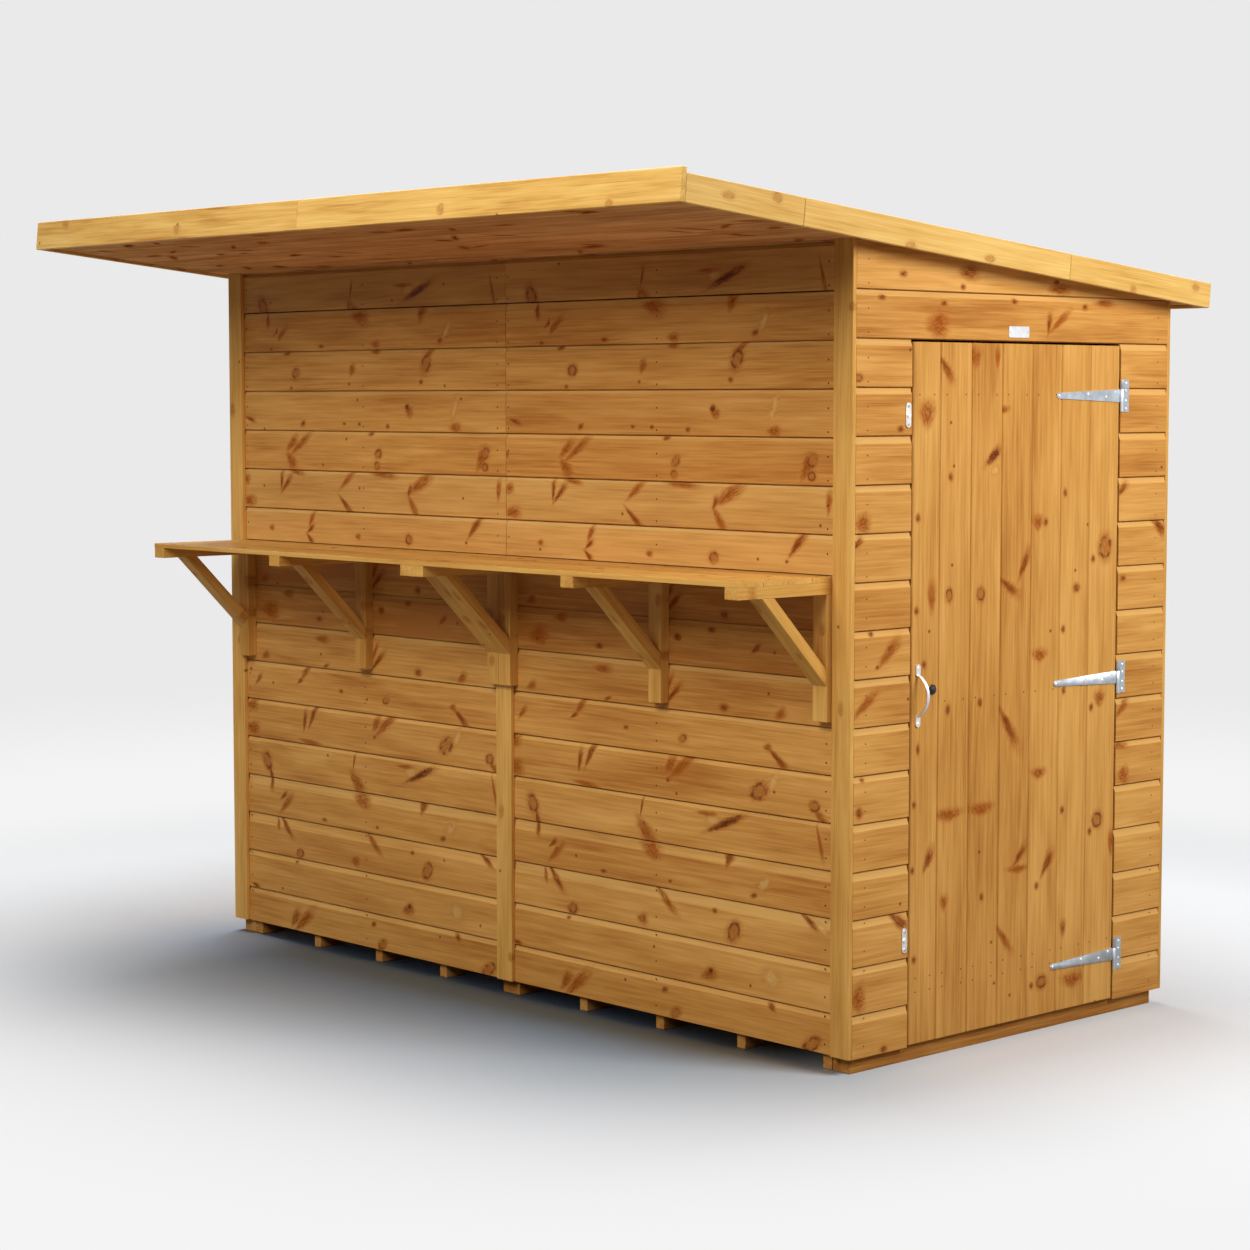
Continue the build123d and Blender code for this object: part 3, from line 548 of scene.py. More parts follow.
def clad(stack, corner, along, out, length, low, high, first, knots, origin, scoops, tones, dice,
         thin=(), scoop_pale=0.22):
    """Boards a stretch of wall from low to high; knots are measured along from origin, thin rows took less stain."""
    for row in range(ROWS):
        z = first + ROW * row
        if z + ROW <= low or z >= high:
            continue
        outline = shiplap(scoops[row] / 1000, max(low - z, 0.0), min(high - z, ROW))
        placed = [(origin * 1000 + k[0], *k[1:]) for k in knots.get(row, ())]
        red = -0.15 if row in thin else max(0.0, dice.uniform(-0.14, 0.12))
        lay(stack, (*corner, z), along, UP, out, length, outline, dice, placed, tones[row], red, scoop_pale)


# Machined pine, honey stained: a low satin orange brown, drawn out in soft streaks
wall_pine = stained_pine("shiplap_pine_honey_stained", "#E6AC5D", "#D29549", "#B37130")
lower, head, jambs = new_stack(), new_stack(), new_stack()
shutters = {"hatch_left": new_stack(), "hatch_right": new_stack()}
roof_slope = math.radians(5.52)
roof_up = Vector((0, math.sin(roof_slope), math.cos(roof_slope)))
under_roof = (ROOF_POINT - roof_up * 0.0003, roof_up)
PANEL, SHUTTER, JAMB, SHUTTER_GAP = 1.2075, 1.1575, 0.048, 0.0025
# Each front panel: its shutter, its left end, its shutter's left end, its jamb, the start of its run of knots, a seed
for side, left, near, jamb, run, seed in (
    ("hatch_left", -1.208, -1.1585, -1.208, -1.168, 5), ("hatch_right", 0.0005, 0.001, 1.160, 0.0, 6),
):
    board = dict(along=RIGHT, out=FRONT, first=ROW_LOW, scoops=FRONT_SCOOPS, tones=FRONT_TONES_AND_SHELF_SHADE,
                 thin=(10, 11, 16, 17), dice=random.Random(seed))
    knotted = dict(board, length=PANEL, knots=FRONT_KNOTS, origin=run - left)
    clad(lower, (left, -WALL_Y), low=WALL_FOOT, high=SHELF_TOP, **knotted)
    clad(jambs, (jamb, -WALL_Y), length=JAMB, low=SHELF_TOP, high=SHUTTER_HEAD, knots={}, origin=0, **board)
    clad(shutters[side], (near, -WALL_Y), length=SHUTTER, low=SHELF_TOP + SHUTTER_GAP, high=SHUTTER_HEAD - SHUTTER_GAP,
         knots=FRONT_KNOTS, origin=run - near, **board)
    clad(head, (left, -WALL_Y), low=SHUTTER_HEAD, high=1.95, **knotted)
wall = dict(material=wall_pine, slot="cladding_boards")
raise_boards(lower, "front_boards", "cabin", node="front_cladding", **wall)
raise_boards(jambs, "front_jamb_boards", "cabin", node="front_jamb_strips", **wall)
raise_boards(head, "front_top_boards", "cabin", node="front_head_boards", cut=under_roof, **wall)
for body, stack in shutters.items():
    raise_boards(stack, body + "_shiplap", body, node=body + "_boards", **wall)
    saw(body + "_battens", rough_pine, seed=60 + len(body))

# Two nails through each board into each stud, their heads darkened by the stain; boards were set out by hand, so
# the nails stand at other heights from one stretch of wall to the next
nail_iron, add = bare_material("steel_nail_heads_stained_over")
where = add("TexCoord").outputs["Object"]
cloud = noise(add, where, 40.0)
ramp = shades(add, cloud, ("#2C180A", 0.3), ("#5A3414", 0.7))
shader = add("BsdfPrincipled", {"Base Color": ramp, "Roughness": 0.6, "Specular IOR Level": 0.2})
add("OutputMaterial", shader)


def nail_rises(row):
    """Heights of a board's two nails above its lower edge."""
    return (0.035, 0.101) if row < 3 else (0.028, 0.072) if row < 10 else (0.012, 0.066)


# None show from 0.8 m up to the shelf, and none stand close to a shutter's edges
NAIL_LOW, NAIL_ROWS = 0.045, 17
front_studs = (-1.148, -0.603, -0.034, 0.010, 0.565, 1.134)
front_nails = {"cabin": [], "hatch_left": [], "hatch_right": []}
for x in front_studs:
    for row in range(NAIL_ROWS):
        for rise in nail_rises(row):
            z = ROW_LOW + ROW * row + rise
            if NAIL_LOW < z < 0.80 or 1.80 < z < 1.905:
                front_nails["cabin"].append((x, -WALL_Y, z))
            elif 1.156 < z < 1.788:
                front_nails["hatch_left" if x < 0 else "hatch_right"].append((x, -WALL_Y, z))
for body, spots in front_nails.items():
    heads(body + "_front_nails", spots, FRONT, 0.0023, 0.0004, 0.0, nail_iron, body)

# End and rear walls. The same shiplap, nailed up in one run round the cabin; the door
# end is in two narrow strips with a header over the door, its top cut to the roof.
SIDE_LOW = 0.0294
SIDE_SCOOPS = (20, 18, 20, 22, 18, 16, 18, 20, 17, 18, 16, 18, 20, 18, 18, 16, 16, 14)
SIDE_SPOTS = [
    (-572, 1599, 24, 16, 0, ROUND), (-429, 1483, 22, 14, 0, SPOT), (-556, 1270, 40, 34, 0, SMEAR),
    (-574, 1222, 40, 12, 38, SPIKE), (-522, 1016, 16, 11, 0, SPOT), (-464, 970, 78, 24, 40, SMEAR),
    (-502, 939, 14, 10, 0, SPOT), (-545, 854, 80, 18, 35, SMEAR), (-549, 683, 14, 10, 0, SPOT),
    (-560, 608, 20, 24, 0, SPOT), (-422, 342, 66, 22, -35, SPIKE), (-562, 177, 36, 48, 0, SMEAR),
    (-472, 47, 22, 16, 0, SPOT), (397, 1324, 54, 15, 40, SPIKE), (556, 1231, 62, 24, -35, SPIKE),
    (410, 1105, 22, 14, 0, SPOT), (412, 777, 54, 16, 40, SMEAR), (404, 683, 54, 16, 0, SMEAR),
    (421, 608, 34, 32, 0, SMEAR), (-495, 1782, 22, 12, 0, SPOT), (-281, 1773, 22, 13, 0, SPOT),
    (-303, 1723, 60, 48, 0, SMEAR), (-26, 1783, 20, 12, 0, SPOT), (105, 1731, 46, 14, 80, SPIKE),
    (145, 1738, 74, 15, 35, SMEAR), (320, 1786, 60, 14, 0, SMEAR), (243, 1775, 20, 12, 0, SPOT),
    (-423, 1837, 24, 14, 0, SPOT), (-195, 1846, 54, 26, 0, SMEAR), (-214, 1812, 16, 12, 0, SPOT),
    (140, 1815, 60, 18, 0, SMEAR), (132, 1833, 20, 12, 0, SPOT),
]
side_knots = {}
for y, z, *shape in SIDE_SPOTS:
    row = int((z / 1000 - SIDE_LOW) / ROW)
    side_knots.setdefault(row, []).append((y, z - (SIDE_LOW + ROW * row) * 1000, *shape))
# The header's lowest row is darker, and the two rows above it, under the bargeboard, are painted lighter: painted light
# that takes away the bargeboard's shadow
side_tones_and_painted_light = [0.06 + 0.05 * math.sin(7 * row) for row in range(15)] + [-0.14, 0.16, 0.24]
dice = random.Random(8)
strips, header, left_end, rear = new_stack(), new_stack(), new_stack(), new_stack()
# The door end's scoops are painted brighter still: painted highlight where the light from beyond the door end falls
# into them
board = dict(along=REAR, out=RIGHT, first=SIDE_LOW, knots=side_knots, scoops=SIDE_SCOOPS,
             tones=side_tones_and_painted_light, dice=dice, scoop_pale=0.45)
STRIP = 0.189
for near in (-WALL_Y, WALL_Y - STRIP):
    clad(strips, (WALL_X, near), length=STRIP, low=WALL_FOOT, high=HEADER_LOW, origin=-near, **board)
clad(header, (WALL_X, -WALL_Y), length=2 * WALL_Y, low=HEADER_LOW, high=WALL_HEAD, origin=WALL_Y, **board)
raise_boards(strips, "door_end_boards", "cabin", node="door_wall_cladding", **wall)
raise_boards(header, "door_end_header", "cabin", node="door_wall_header", cut=under_roof, **wall)
board.update(knots=FRONT_KNOTS, scoops=FRONT_SCOOPS, tones=FRONT_TONES_AND_SHELF_SHADE, scoop_pale=0.22)
board.update(along=FRONT, out=LEFT)
clad(left_end, (-WALL_X, WALL_Y), length=2 * WALL_Y, low=WALL_FOOT, high=WALL_HEAD, origin=0.0, **board)
board.update(along=LEFT, out=REAR)
for right in (1.208, -0.0005):
    clad(rear, (right, WALL_Y), length=PANEL, low=WALL_FOOT, high=1.82, origin=0.04, **board)
raise_boards(left_end, "left_end_boards", "cabin", node="left_wall_cladding", cut=under_roof, **wall)
raise_boards(rear, "rear_boards", "cabin", node="rear_cladding", cut=under_roof, **wall)


def nail_limit(y):
    """How high the end walls' nails go below the sloping roof."""
    return 1.89 - math.tan(roof_slope) * (y - ROOF_POINT.y)


end_nails, left_nails, rear_nails = [], [], []
end_studs, left_studs = (-0.54, 0.54), (-0.56, -0.19, 0.19, 0.56)
rear_studs = (-1.148, -0.603, -0.033, 0.033, 0.603, 1.148)
for row in range(NAIL_ROWS):
    for rise in nail_rises(row):
        z = SIDE_LOW + ROW * row + rise
        if z > NAIL_LOW:
            end_nails += [(WALL_X, y, z) for y in end_studs if z < nail_limit(y)]
            # The boards of the other two walls lie 4 mm lower
            left_nails += [(-WALL_X, y, z - 0.004) for y in left_studs if z < nail_limit(y)]
            rear_nails += [(x, WALL_Y, z - 0.004) for x in rear_studs if z < 1.77]
heads("door_end_nails", end_nails, RIGHT, 0.0018, 0.0004, 0.0, nail_iron)
heads("left_end_nails", left_nails, LEFT, 0.0026, 0.0004, 0.0, nail_iron)
heads("rear_nails", rear_nails, REAR, 0.0026, 0.0004, 0.0, nail_iron)

# Corner boards and cover strips. Planed pine laths nailed over the ends of the wall
# boards at the corners and over the joint between the two front panels.
# Planed pine, honey stained: yellower and more even than the wall boards, with closer rings
trim_pine = stained_pine("planed_pine_honey_stained", "#E9B663", "#D8A04F", "#BC8138", ring_mm=7)
saw("corner_trims", trim_pine, seed=31, shade=0.05)
saw("cover_strips", trim_pine, seed=32, shade=0.26)

# Roof boards. Pine matchboards laid along the roof over the joists, their grooved
# faces down, which make the ceiling over the bar.


def matchboard(width):
    """The outline of a tongued board's end, with a small bevel and a 1 mm slot at each joint."""
    v = 0.0032
    top = [(0.0005, v), (v, 0.0), (width - v, 0.0), (width - 0.0005, v), (width - 0.0005, 0.0068), (width, 0.0068)]
    return top + [(width, 0.012), (0.0, 0.012), (0.0, 0.0068), (0.0005, 0.0068)]


# Matchboard pine, stained: no sheen at all; its colours are painted paler than the wall boards' as painted light,
# lifting it in the roof's shade, where it still shows a deep brown
ceiling_pine = stained_pine("matchboard_pine_dark_stained", "#F5C187", "#D69D61", "#B07544", roughness=0.8, gloss=0.0)
down_slope = Vector((0, math.cos(roof_slope), -math.sin(roof_slope)))
ceiling = new_stack()
dice = random.Random(14)
ROOF_X = 1.264
ROOF_FRONT, CEILING_REAR, FELT_REAR = -0.583, 1.2585, 1.2722
count = 17
width = (CEILING_REAR - ROOF_FRONT) / count
for number in range(count):
    start = ROOF_POINT + Vector((-ROOF_X, 0, 0)) + down_slope * (ROOF_FRONT + width * number)
    knots = [(dice.uniform(60, 2480), dice.uniform(15, 95), dice.uniform(30, 90), dice.uniform(10, 26),
              dice.uniform(-50, 50), dice.choice((SMEAR, SPIKE, SPOT, SMEAR))) for _ in range(9)]
    shade = dice.uniform(-0.1, 0.06)
    lay(ceiling, start, RIGHT, down_slope, -roof_up, 2 * ROOF_X, matchboard(width), dice, knots, shade)
raise_boards(ceiling, "ceiling_boards", "cabin", ceiling_pine, "roof_boards", "roof_soffit")

# Floor boards. The same matchboards laid across the joists inside, left planed and
# only dipped once.
# Planed pine, thinly stained: paler and greyer than the walls, and nearly without sheen
floor_pine = stained_pine("matchboard_pine_floor_planed", "#DDB27A", "#C99A5E", "#AA7A40", roughness=0.65)
deck = new_stack()
DECK_DEPTH, DECK_TOP = 1.134, 0.050
count = 10
width = DECK_DEPTH / count
for left in (-1.203, 0.0005):
    for number in range(count):
        knots = [(dice.uniform(40, 1160), dice.uniform(15, 95), dice.uniform(16, 40), dice.uniform(10, 20), 0, ROUND)
                 for _ in range(3)]
        start = (left, -DECK_DEPTH / 2 + width * number, DECK_TOP)
        shade = dice.uniform(-0.06, 0.06)
        lay(deck, start, RIGHT, REAR, UP, 1.2025, matchboard(width), dice, knots, shade)
raise_boards(deck, "deck_boards", "cabin", floor_pine, "floor_boards", "floor_deck")

# Roof covering. Three lengths of mineral-faced bitumen felt rolled out along the roof
# from the eaves up, each lapped over the one below and nailed at the edges. Its slate
# chips make it a dull dark grey with a fine speckle.
felt, add = bare_material("roofing_felt_mineral_faced")
where = add("TexCoord").outputs["Object"]
# The slate chips are drawn 3 mm wide, three times the real ones, so that they show
chips = add("TexVoronoi", {"Vector": where, "Scale": 340.0})
chip = add("SeparateColor", chips.outputs["Color"])
patch = noise(add, where, 5.0, 4.0)
mixed = add("Math MULTIPLY_ADD", patch, 0.5, chip)
ramp = shades(add, mixed, ("#26292B", 0.0), ("#5B6062", 1.0))
# Along each lap runs a near black line about 8 mm wide: painted shade under the lapped edge, and the cold bitumen
# squeezed out there
laps = (0.34, 0.96)
down_roof = add("VectorMath DOT_PRODUCT", where, down_slope).outputs["Value"]
down_roof = add("Math MULTIPLY_ADD", patch, 0.012, down_roof)
felt_and_lap_shade = ramp
for lap in laps:
    from_lap = lap + 0.006 + ROOF_POINT.dot(down_slope)
    line = add("Math SUBTRACT", down_roof, from_lap)
    line = add("Math ABSOLUTE", line)
    line = add("MapRange", line, 0.006, 0.003)
    felt_and_lap_shade = mix(add, line, felt_and_lap_shade, "#15161A")
grit = add("Bump", {"Height": chip, "Strength": 0.6, "Distance": 0.0008})
shader = add("BsdfPrincipled", {"Base Color": felt_and_lap_shade, "Normal": grit, "Roughness": 0.92})
add("OutputMaterial", shader)
FELT_LOW, FELT_HIGH = 0.0521, 0.0545
LAP_STEP, SWELL = 0.0018, 0.0012
dice = random.Random(3)
columns, lines = 64, 84
waves = [(dice.uniform(1, 7), dice.uniform(1, 7), dice.uniform(0, 6)) for _ in range(7)]
points = []
for line in range(lines + 1):
    s = ROOF_FRONT + (FELT_REAR - ROOF_FRONT) * line / lines
    for column in range(columns + 1):
        x = -ROOF_X + 2 * ROOF_X * column / columns
        steps = sum(LAP_STEP for lap in laps if s < lap + 0.004 * math.sin(3 * x + lap))
        swell = sum(math.sin(a * x + b * s + c) for a, b, c in waves) * SWELL / 10
        # Pressed down along both ends, where it is nailed just below the tops of the bargeboards
        pressed = 0.0537 + 0.05 * (ROOF_X - abs(x))
        rise = min(FELT_HIGH + steps + max(-SWELL, min(SWELL, swell)), pressed)
        points.append(ROOF_POINT + Vector((x, 0, 0)) + down_slope * s + roof_up * rise)
step = columns + 1
faces = [(a, a + 1, a + step + 1, a + step) for line in range(lines) for a in range(line * step, line * step + columns)]
# Its edge all round goes down to the roof boards
rim = list(range(columns)) + [columns + step * k for k in range(lines)]
rim += [lines * step + columns - k for k in range(columns)] + [step * (lines - k) for k in range(lines)]
foot = len(points)
points += [points[a] + roof_up * (FELT_LOW - (points[a] - ROOF_POINT).dot(roof_up)) for a in rim]
for k, a in enumerate(rim):
    after = (k + 1) % len(rim)
    faces.append((rim[after], a, foot + k, foot + after))
faces.append(tuple(foot + k for k in reversed(range(len(rim)))))
mesh = bpy.data.meshes.new("felt_sheets")
mesh.from_pydata(points, [], faces)
add_piece("felt_sheets", mesh, felt, "cabin", "roofing_felt", "roof_felt")

# Fascia boards and bargeboards. Planed pine boards nailed round the roof's edge; the
# front ones stand a little above the felt.
# Planed pine, pale stained: the lightest and yellowest wood here, its fibres showing
fascia_pine = stained_pine("planed_pine_pale_stained", "#EAC071", "#DAAA59", "#B67D38", fibre=1.3)
saw("fascia_boards", fascia_pine, seed=41, shade=0.04, spread=0.02)
saw("bargeboards", fascia_pine, seed=42, shade=0.12)

# Bar shelf. Four planed pine boards with eased edges, screwed down over the bracket
# arms.
shelf = new_stack()
SHELF_X, SHELF_FRONT, SHELF_DEPTH, SHELF_GAP, SHELF_BOARDS = 1.16, -0.892, 0.313, 0.0015, 4
width = (SHELF_DEPTH - (SHELF_BOARDS - 1) * SHELF_GAP) / SHELF_BOARDS
eased = [(0.0, 0.002), (0.002, 0.0), (width - 0.002, 0.0), (width, 0.002), (width, 0.0115), (width - 0.001, 0.012),
         (0.001, 0.012), (0.0, 0.0115)]
dice = random.Random(17)
for number in range(SHELF_BOARDS):
    knots = [(dice.uniform(40, 2280), dice.uniform(12, 64), dice.uniform(14, 40), dice.uniform(8, 18),
              dice.uniform(-40, 40), dice.choice((SMEAR, SPOT, SMEAR))) for _ in range(7)]
    start = (-SHELF_X, SHELF_FRONT + number * (width + SHELF_GAP), SHELF_TOP)
    shade = dice.uniform(-0.03, 0.1)
    lay(shelf, start, RIGHT, REAR, UP, 2 * SHELF_X, eased, dice, knots, shade)
raise_boards(shelf, "bar_boards", "cabin", trim_pine, "bar_boards", "bar_top")
screws = [(x, SHELF_FRONT + (number + 0.5) * width + number * SHELF_GAP, SHELF_TOP)
          for number in range(SHELF_BOARDS) for x in (-1.1375, -0.5875, -0.023, 0.023, 0.5875, 1.1375)]
heads("bar_screws", screws, UP, 0.003, 0.0003, 0.0006, nail_iron, "cabin", "bar_boards")

# Bar brackets. Square pine legs, arms and slanting braces, screwed together and to
# the wall under the shelf.
saw("bracket_legs", trim_pine, seed=51, shade=-0.05)
saw("bracket_arms", trim_pine, seed=52, shade=0.05)
saw("bracket_braces", trim_pine, seed=53, shade=0.0)

# Door. Seven matchboards nailed to three ledges and two braces behind, so that only
# the boards and their nails show from outside.
DOOR_SPOTS = [
    (-337, 1516, 40, 50, SMEAR), (-366, 1277, 15, 18, SPOT), (-369, 1062, 14, 18, SPOT), (-316, 1089, 20, 60, SMEAR),
    (-341, 935, 14, 18, SPOT), (-360, 738, 12, 26, SPOT), (-372, 608, 12, 16, SPOT), (-322, 473, 54, 20, 60, SPIKE),
    (-376, 454, 12, 16, SPOT), (-368, 242, 14, 16, SPOT), (-272, 1624, 64, 18, -50, SPIKE),
    (-252, 1370, 15, 18, SPOT), (-254, 1093, 22, 30, ROUND), (-255, 823, 16, 24, SPOT), (-250, 573, 70, 24, SMEAR),
    (-264, 365, 20, 30, SMEAR), (-164, 1650, 30, 40, SMEAR), (-87, 1650, 14, 40, SMEAR),
    (-99, 1416, 60, 22, 38, BLACK), (-91, 1382, 30, 20, 20, PALE), (-139, 1090, 26, 30, ROUND),
    (-139, 831, 15, 18, SPOT), (-133, 575, 70, 24, SMEAR), (-126, 362, 14, 18, SPOT), (-60, 1527, 30, 14, SMEAR),
    (-37, 1104, 74, 18, -30, SPIKE), (20, 1154, 74, 18, 62, SPIKE), (-35, 769, 112, 22, -55, SPIKE),
    (14, 446, 62, 16, 45, SPIKE), (10, 414, 60, 16, SMEAR), (-45, 254, 80, 16, -50, SMEAR), (71, 1254, 30, 30, SMEAR),
    (101, 1254, 15, 18, SPOT), (84, 931, 40, 26, SMEAR), (84, 642, 40, 22, SMEAR), (120, 415, 62, 20, 55, SPIKE),
    (82, 365, 15, 18, SPOT), (105, 123, 34, 30, ROUND), (66, 119, 14, 16, SPOT), (175, 1324, 14, 20, SPOT),
    (223, 1089, 24, 22, SPOT), (173, 990, 14, 18, SPOT), (178, 838, 14, 18, SPOT), (178, 542, 14, 18, SPOT),
    (186, 246, 16, 34, SMEAR), (228, 111, 60, 30, SMEAR), (336, 1185, 46, 56, ROUND), (288, 1158, 14, 18, SPOT),
    (320, 808, 30, 30, SMEAR), (288, 788, 14, 18, SPOT), (317, 504, 36, 36, ROUND), (288, 477, 14, 18, SPOT),
    (374, 438, 16, 50, SMEAR),
]
DOOR_FOOT = 0.043
DOOR_JOINTS = (-0.385, -0.2895, -0.1775, -0.0655, 0.0465, 0.1585, 0.2705, 0.385)
# Matchboard pine, honey stained: warm and even, its streaks running up the door
door_pine = stained_pine("matchboard_pine_honey_stained", "#E3AA5B", "#D09448", "#B27331")
door = new_stack()
dice = random.Random(23)
for near, far in zip(DOOR_JOINTS, DOOR_JOINTS[1:]):
    knots = []
    for y, z, one, two, *angle, kind in DOOR_SPOTS:
        if near < y / 1000 < far:
            # A knot with no angle has its width across the board and its height along it
            shape = (one, two, 90 - angle[0]) if angle else (two, one, 0)
            knots.append((z - DOOR_FOOT * 1000, y - near * 1000, *shape, kind))
    shade = dice.uniform(-0.02, 0.14)
    start = (WALL_X, near, DOOR_FOOT)
    lay(door, start, UP, REAR, RIGHT, 1.64, matchboard(far - near), dice, knots, shade)
raise_boards(door, "door_matchboards", "door", door_pine, "door_boards", "door_boards")
door_nails = [(WALL_X, y, z) for near, far in zip(DOOR_JOINTS, DOOR_JOINTS[1:]) for y in (near + 0.022, far - 0.022)
              for z in (0.165, 0.198, 0.845, 1.562)]
# The handle's feet cover two of the nails
door_nails = [n for n in door_nails if not (n[1] < -0.3 and 0.8 < n[2] < 0.9)]
heads("door_nails", door_nails, RIGHT, 0.0019, 0.0004, 0.0, nail_iron, "door", "door_boards")
saw("door_ledges", rough_pine, seed=71)
saw("door_braces", rough_pine, seed=72)

# Hinges. Pressed steel tee hinges, a plain leaf screwed to the wall and a long strap
# screwed across the door, bright zinc plated, which leaves a pale blue-grey shine.
zinc, add = bare_material("steel_bright_zinc_plated")
where = add("TexCoord").outputs["Object"]
cloud = noise(add, where, 60.0, 4.0)
ramp = shades(add, cloud, ("#B2BAC2", 0.3), ("#CDD4DA", 0.7))
# Roll marks about 1 mm apart, coarser than real ones
marks = noise(add, where, (900, 60, 900))
fine = add("Bump", {"Height": marks, "Strength": 0.2, "Distance": 0.0002})
shine = add("MapRange", cloud, {3: 0.28, 4: 0.46})
shader = add("BsdfPrincipled", {"Base Color": ramp, "Normal": fine, "Roughness": shine, "Metallic": 0.9})
add("OutputMaterial", shader)
ease("tee_hinge_leaves", "tee_hinge_leaves_pressed", zinc, 0.0012)
ease("tee_hinge_straps", "tee_hinge_straps_pressed", zinc, 0.0016)
# The screws are newer and brighter than the plates
bright = zinc.copy()
bright.name = "steel_screws_bright_zinc_plated"
stops = next(n for n in bright.node_tree.nodes if n.type == "VALTORGB").color_ramp.elements
for stop, code in zip(stops, ("#E4E7EA", "#FAFAFA")):
    stop.color = colour(code)
HINGE_X, HINGE_HEIGHTS = 1.2225, (0.155, 0.8575, 1.560)
leaf_screws, strap_screws = [], []
for z in HINGE_HEIGHTS:
    leaf_screws += [(HINGE_X, 0.409, z + rise) for rise in (-0.031, -0.012, 0.012, 0.031)]
    strap_screws += [(HINGE_X, y, z + rise)
                     for y, rise in ((0.1455, 0), (0.258, 0.004), (0.329, -0.003), (0.366, 0.009))]
heads("tee_hinge_leaf_screws", leaf_screws, RIGHT, 0.0032, 0.0009, 0.0008, bright, "cabin", "zinc_plate")
heads("tee_hinge_strap_screws", strap_screws, RIGHT, 0.0036, 0.0011, 0.0009, bright, "door", "zinc_plate")
for node in ("hatch_hinge_leaves", "hatch_left_hinges", "hatch_right_hinges"):
    ease(node, node + "_pressed", zinc, 0.0004)

# Pull handle. A bow on two flat feet, pressed from bright zinc-plated steel and
# screwed to the door's edge board.
ease("pull_handle", "pull_handle_pressed", bright, 0.0006)
feet = [(1.224, -0.364, z) for z in (0.7985, 0.9295)]
heads("pull_handle_screws", feet, RIGHT, 0.0034, 0.0008, 0.0009, bright, "door", "zinc_plate")

# Turn buttons and name plate. Small pressed steel catches on the wall beside the door,
# each on a raised pivot, and a plain steel plate pinned up over the door.
ease("turn_buttons", "turn_buttons_pressed", bright, 0.0008)
ease("name_plate", "name_plate_pressed", bright, 0.0004)
catches = [(1.223, -0.404, z + rise) for z in (0.293, 1.515) for rise in (-0.021, 0.021)]
heads("turn_button_screws", catches, RIGHT, 0.0042, 0.0014, 0.0012, zinc, "cabin", "zinc_plate")
pins = [(1.2215, y, 1.711) for y in (-0.041, 0.023)]
heads("name_plate_pins", pins, RIGHT, 0.002, 0.0006, 0.0, zinc, "cabin", "zinc_plate")

# Door lock. A round cylinder lock with a black lacquered steel rose, turned and screwed
# on from inside. It shows as a near black disc with a soft sheen.
black, add = bare_material("steel_black_lacquered")
where = add("TexCoord").outputs["Object"]
peel = noise(add, where, 700.0)
dull = add("MapRange", peel, {3: 0.3, 4: 0.5})
shader = add("BsdfPrincipled", {"Base Color": colour("#0F0E0E"), "Roughness": dull})
add("OutputMaterial", shader)
ease("door_lock", "door_lock_turned", black, 0.0012)

# Studio floor. A pale seamless painted floor that fades into the backdrop a few metres
# out.
ground, add = bare_material("studio_floor_matt_painted")
where = add("NewGeometry").outputs["Position"]
off = add("VectorMath ADD", where, (0.4, -0.3, 0))
far = add("VectorMath LENGTH", off).outputs["Value"]
rays = add("LightPath").outputs
# In front of the bar the paint turns darker and cooler towards the wall: painted shadow at the wall's foot, and a cool
# tint that cancels the warm light off the boards
place = add("SeparateXYZ", where).outputs
front = add("MapRange", place[1], -1.8, -0.6, **SMOOTH)
foot = add("MapRange", place[1], -1.05, -0.65, **SMOOTH)
short = add("MapRange", place[0], 0.9, 0.3, **SMOOTH)
foot = add("Math MULTIPLY", foot, short)
ends = add("Math ABSOLUTE", place[0])
ends = add("MapRange", ends, 1.6, 0.7, **SMOOTH)
under = add("MapRange", place[1], -0.2, -0.6, **SMOOTH)
front = add("Math MULTIPLY", front, ends)
front = add("Math MULTIPLY", front, under)
cool_shadow = mix(add, foot, "#B0C8DA", "#A6D1FF")
paints_and_shadow = mix(add, front, "#F2F6FA", cool_shadow)
# The camera sees a paler floor than the light that bounces off it onto the cabin does
tint = mix(add, rays["Is Camera Ray"], "#B4B4B4", paints_and_shadow)
paint = add("BsdfPrincipled", {"Base Color": tint, "Roughness": 0.9})
glow = add("Emission", {"Color": colour("#F4F4F4"), "Strength": 1.0})
clear = add("BsdfTransparent")
near = add("MapRange", far, 1.5, 3.3, **SMOOTH)
near = add("Math MULTIPLY", near, rays["Is Camera Ray"])
fade = add("MapRange", far, 3.4, 7.5, **SMOOTH)
sweep = add("MixShader", near, paint, glow)
sweep = add("MixShader", fade, sweep, clear)
add("OutputMaterial", sweep)
bm = bmesh.new()
bmesh.ops.create_circle(bm, cap_ends=True, segments=64, radius=9.0)
mesh = bpy.data.meshes.new("studio_floor")
bm.to_mesh(mesh)
bm.free()
mesh.materials.append(ground)
floor = bpy.data.objects.new("studio_floor", mesh)
bpy.context.scene.collection.objects.link(floor)
floor.location.z = -0.0005

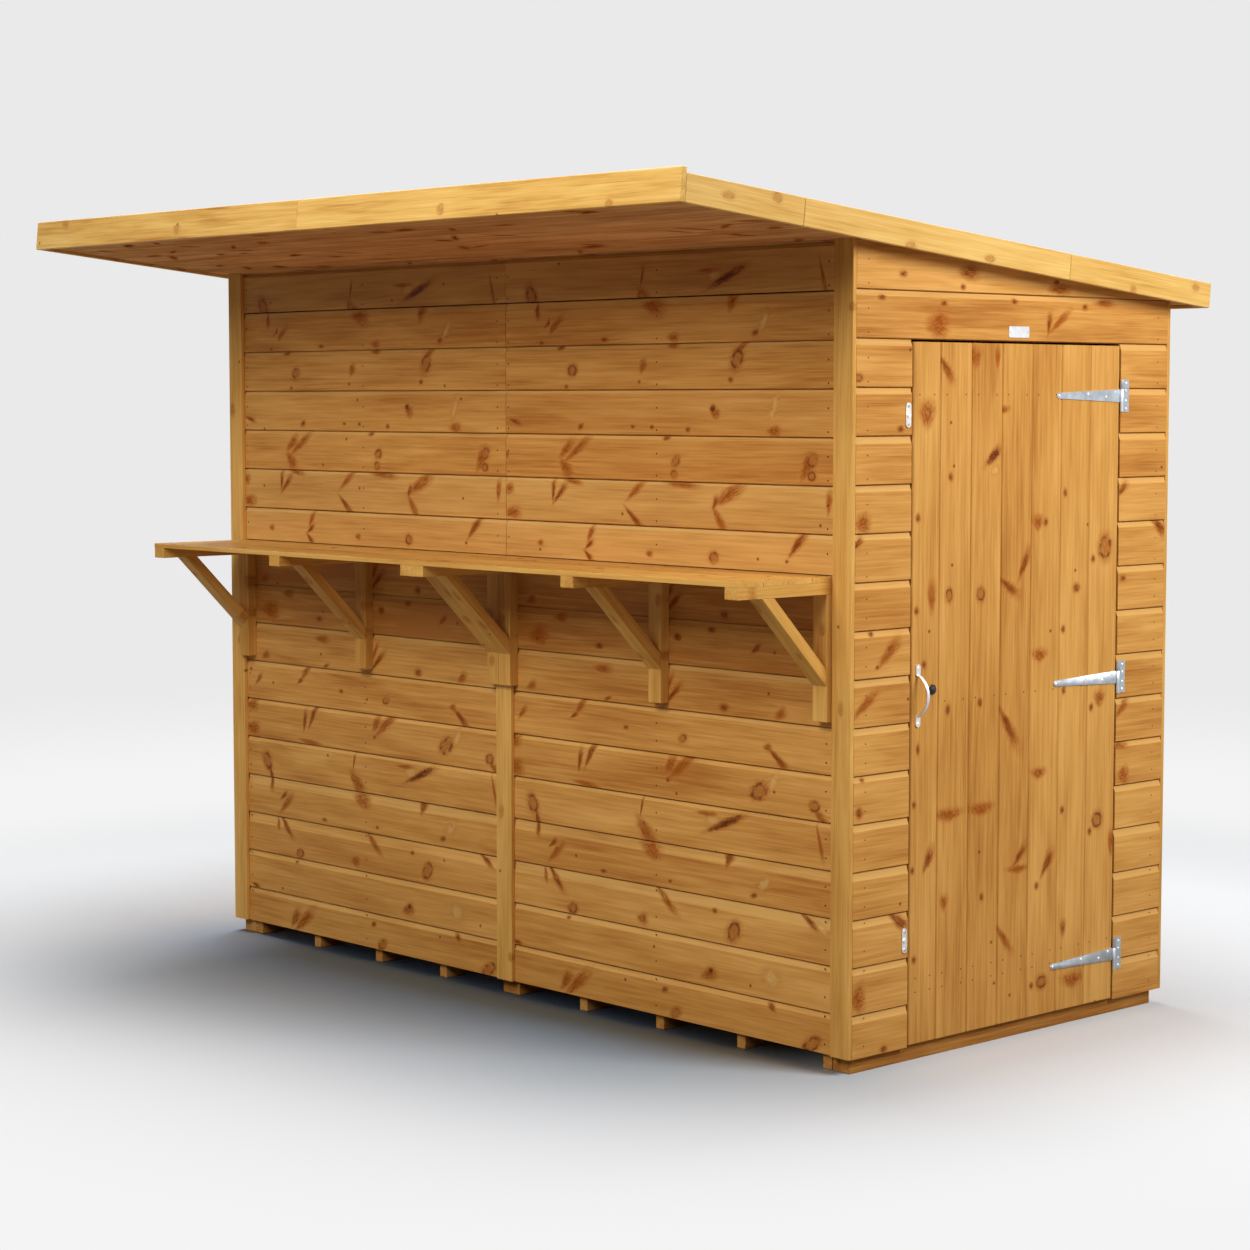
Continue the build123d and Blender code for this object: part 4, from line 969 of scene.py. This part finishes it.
# Studio light. Soft boxes in front and behind light the walls and are kept off the floor,
# as flags would; one stands beyond the door end, one hangs overhead, and a pale surround
# is the backdrop.
world = bpy.data.worlds.new("studio_surround")
bpy.context.scene.world = world
world.use_nodes = True
world.node_tree.nodes.clear()
add = partial(wire, world.node_tree)
rays = add("LightPath").outputs
seen = add("Math MAXIMUM", rays["Is Camera Ray"], rays["Is Glossy Ray"])
seen = add("Math MAXIMUM", seen, rays["Is Transmission Ray"])
fill = add("Background", {"Color": (1, 1, 1, 1), "Strength": 0.03})
shown = add("Background", {"Color": colour("#EAEAEA"), "Strength": 1.0})
blend = add("MixShader", seen, fill, shown)
add("OutputWorld", blend)
flagged = bpy.data.collections.new("kept_from_wall_lights")
flagged.objects.link(floor)
flagged.collection_objects[0].light_linking.link_state = "EXCLUDE"
for name, watts, size, place, aim in (
    ("key_box", 178.0, 2.4, (1.3, -4.45, 3.8), (0.2, -0.58, 1.1)),
    ("door_end_box", 109.0, 1.6, (4.0, 0.4, 2.9), (1.2, 0.0, 1.0)),
    ("overhead_box", 350.0, 3.6, (-0.7, -0.3, 5.5), (-0.7, -0.3, 0.0)),
    ("rear_box", 170.0, 2.4, (-3.6, 3.6, 2.6), (-0.6, 0.3, 1.0)),
):
    lamp = bpy.data.lights.new(name, "AREA")
    lamp.energy = watts
    lamp.size = size
    source = bpy.data.objects.new(name, lamp)
    source.location = place
    source.rotation_euler = (Vector(place) - Vector(aim)).to_track_quat("Z", "Y").to_euler()
    source.visible_camera = False
    bpy.context.scene.collection.objects.link(source)
    if name in ("key_box", "rear_box"):
        source.light_linking.receiver_collection = flagged

# Camera. Stands to the right of the front corner at chest height, looking slightly down,
# where the photo was taken from.
camera = bpy.data.objects.new("camera", bpy.data.cameras.new("camera"))
camera.data.lens = 80.4
camera.data.sensor_width = 36
camera.location = (5.5018, -5.2421, 1.5492)
camera.rotation_euler = Vector((-0.7323, 0.6762, -0.0803)).to_track_quat("-Z", "Y").to_euler()
camera.data.clip_end = 60
bpy.context.scene.collection.objects.link(camera)
bpy.context.scene.camera = camera
bpy.context.scene.view_settings.view_transform = "Standard"
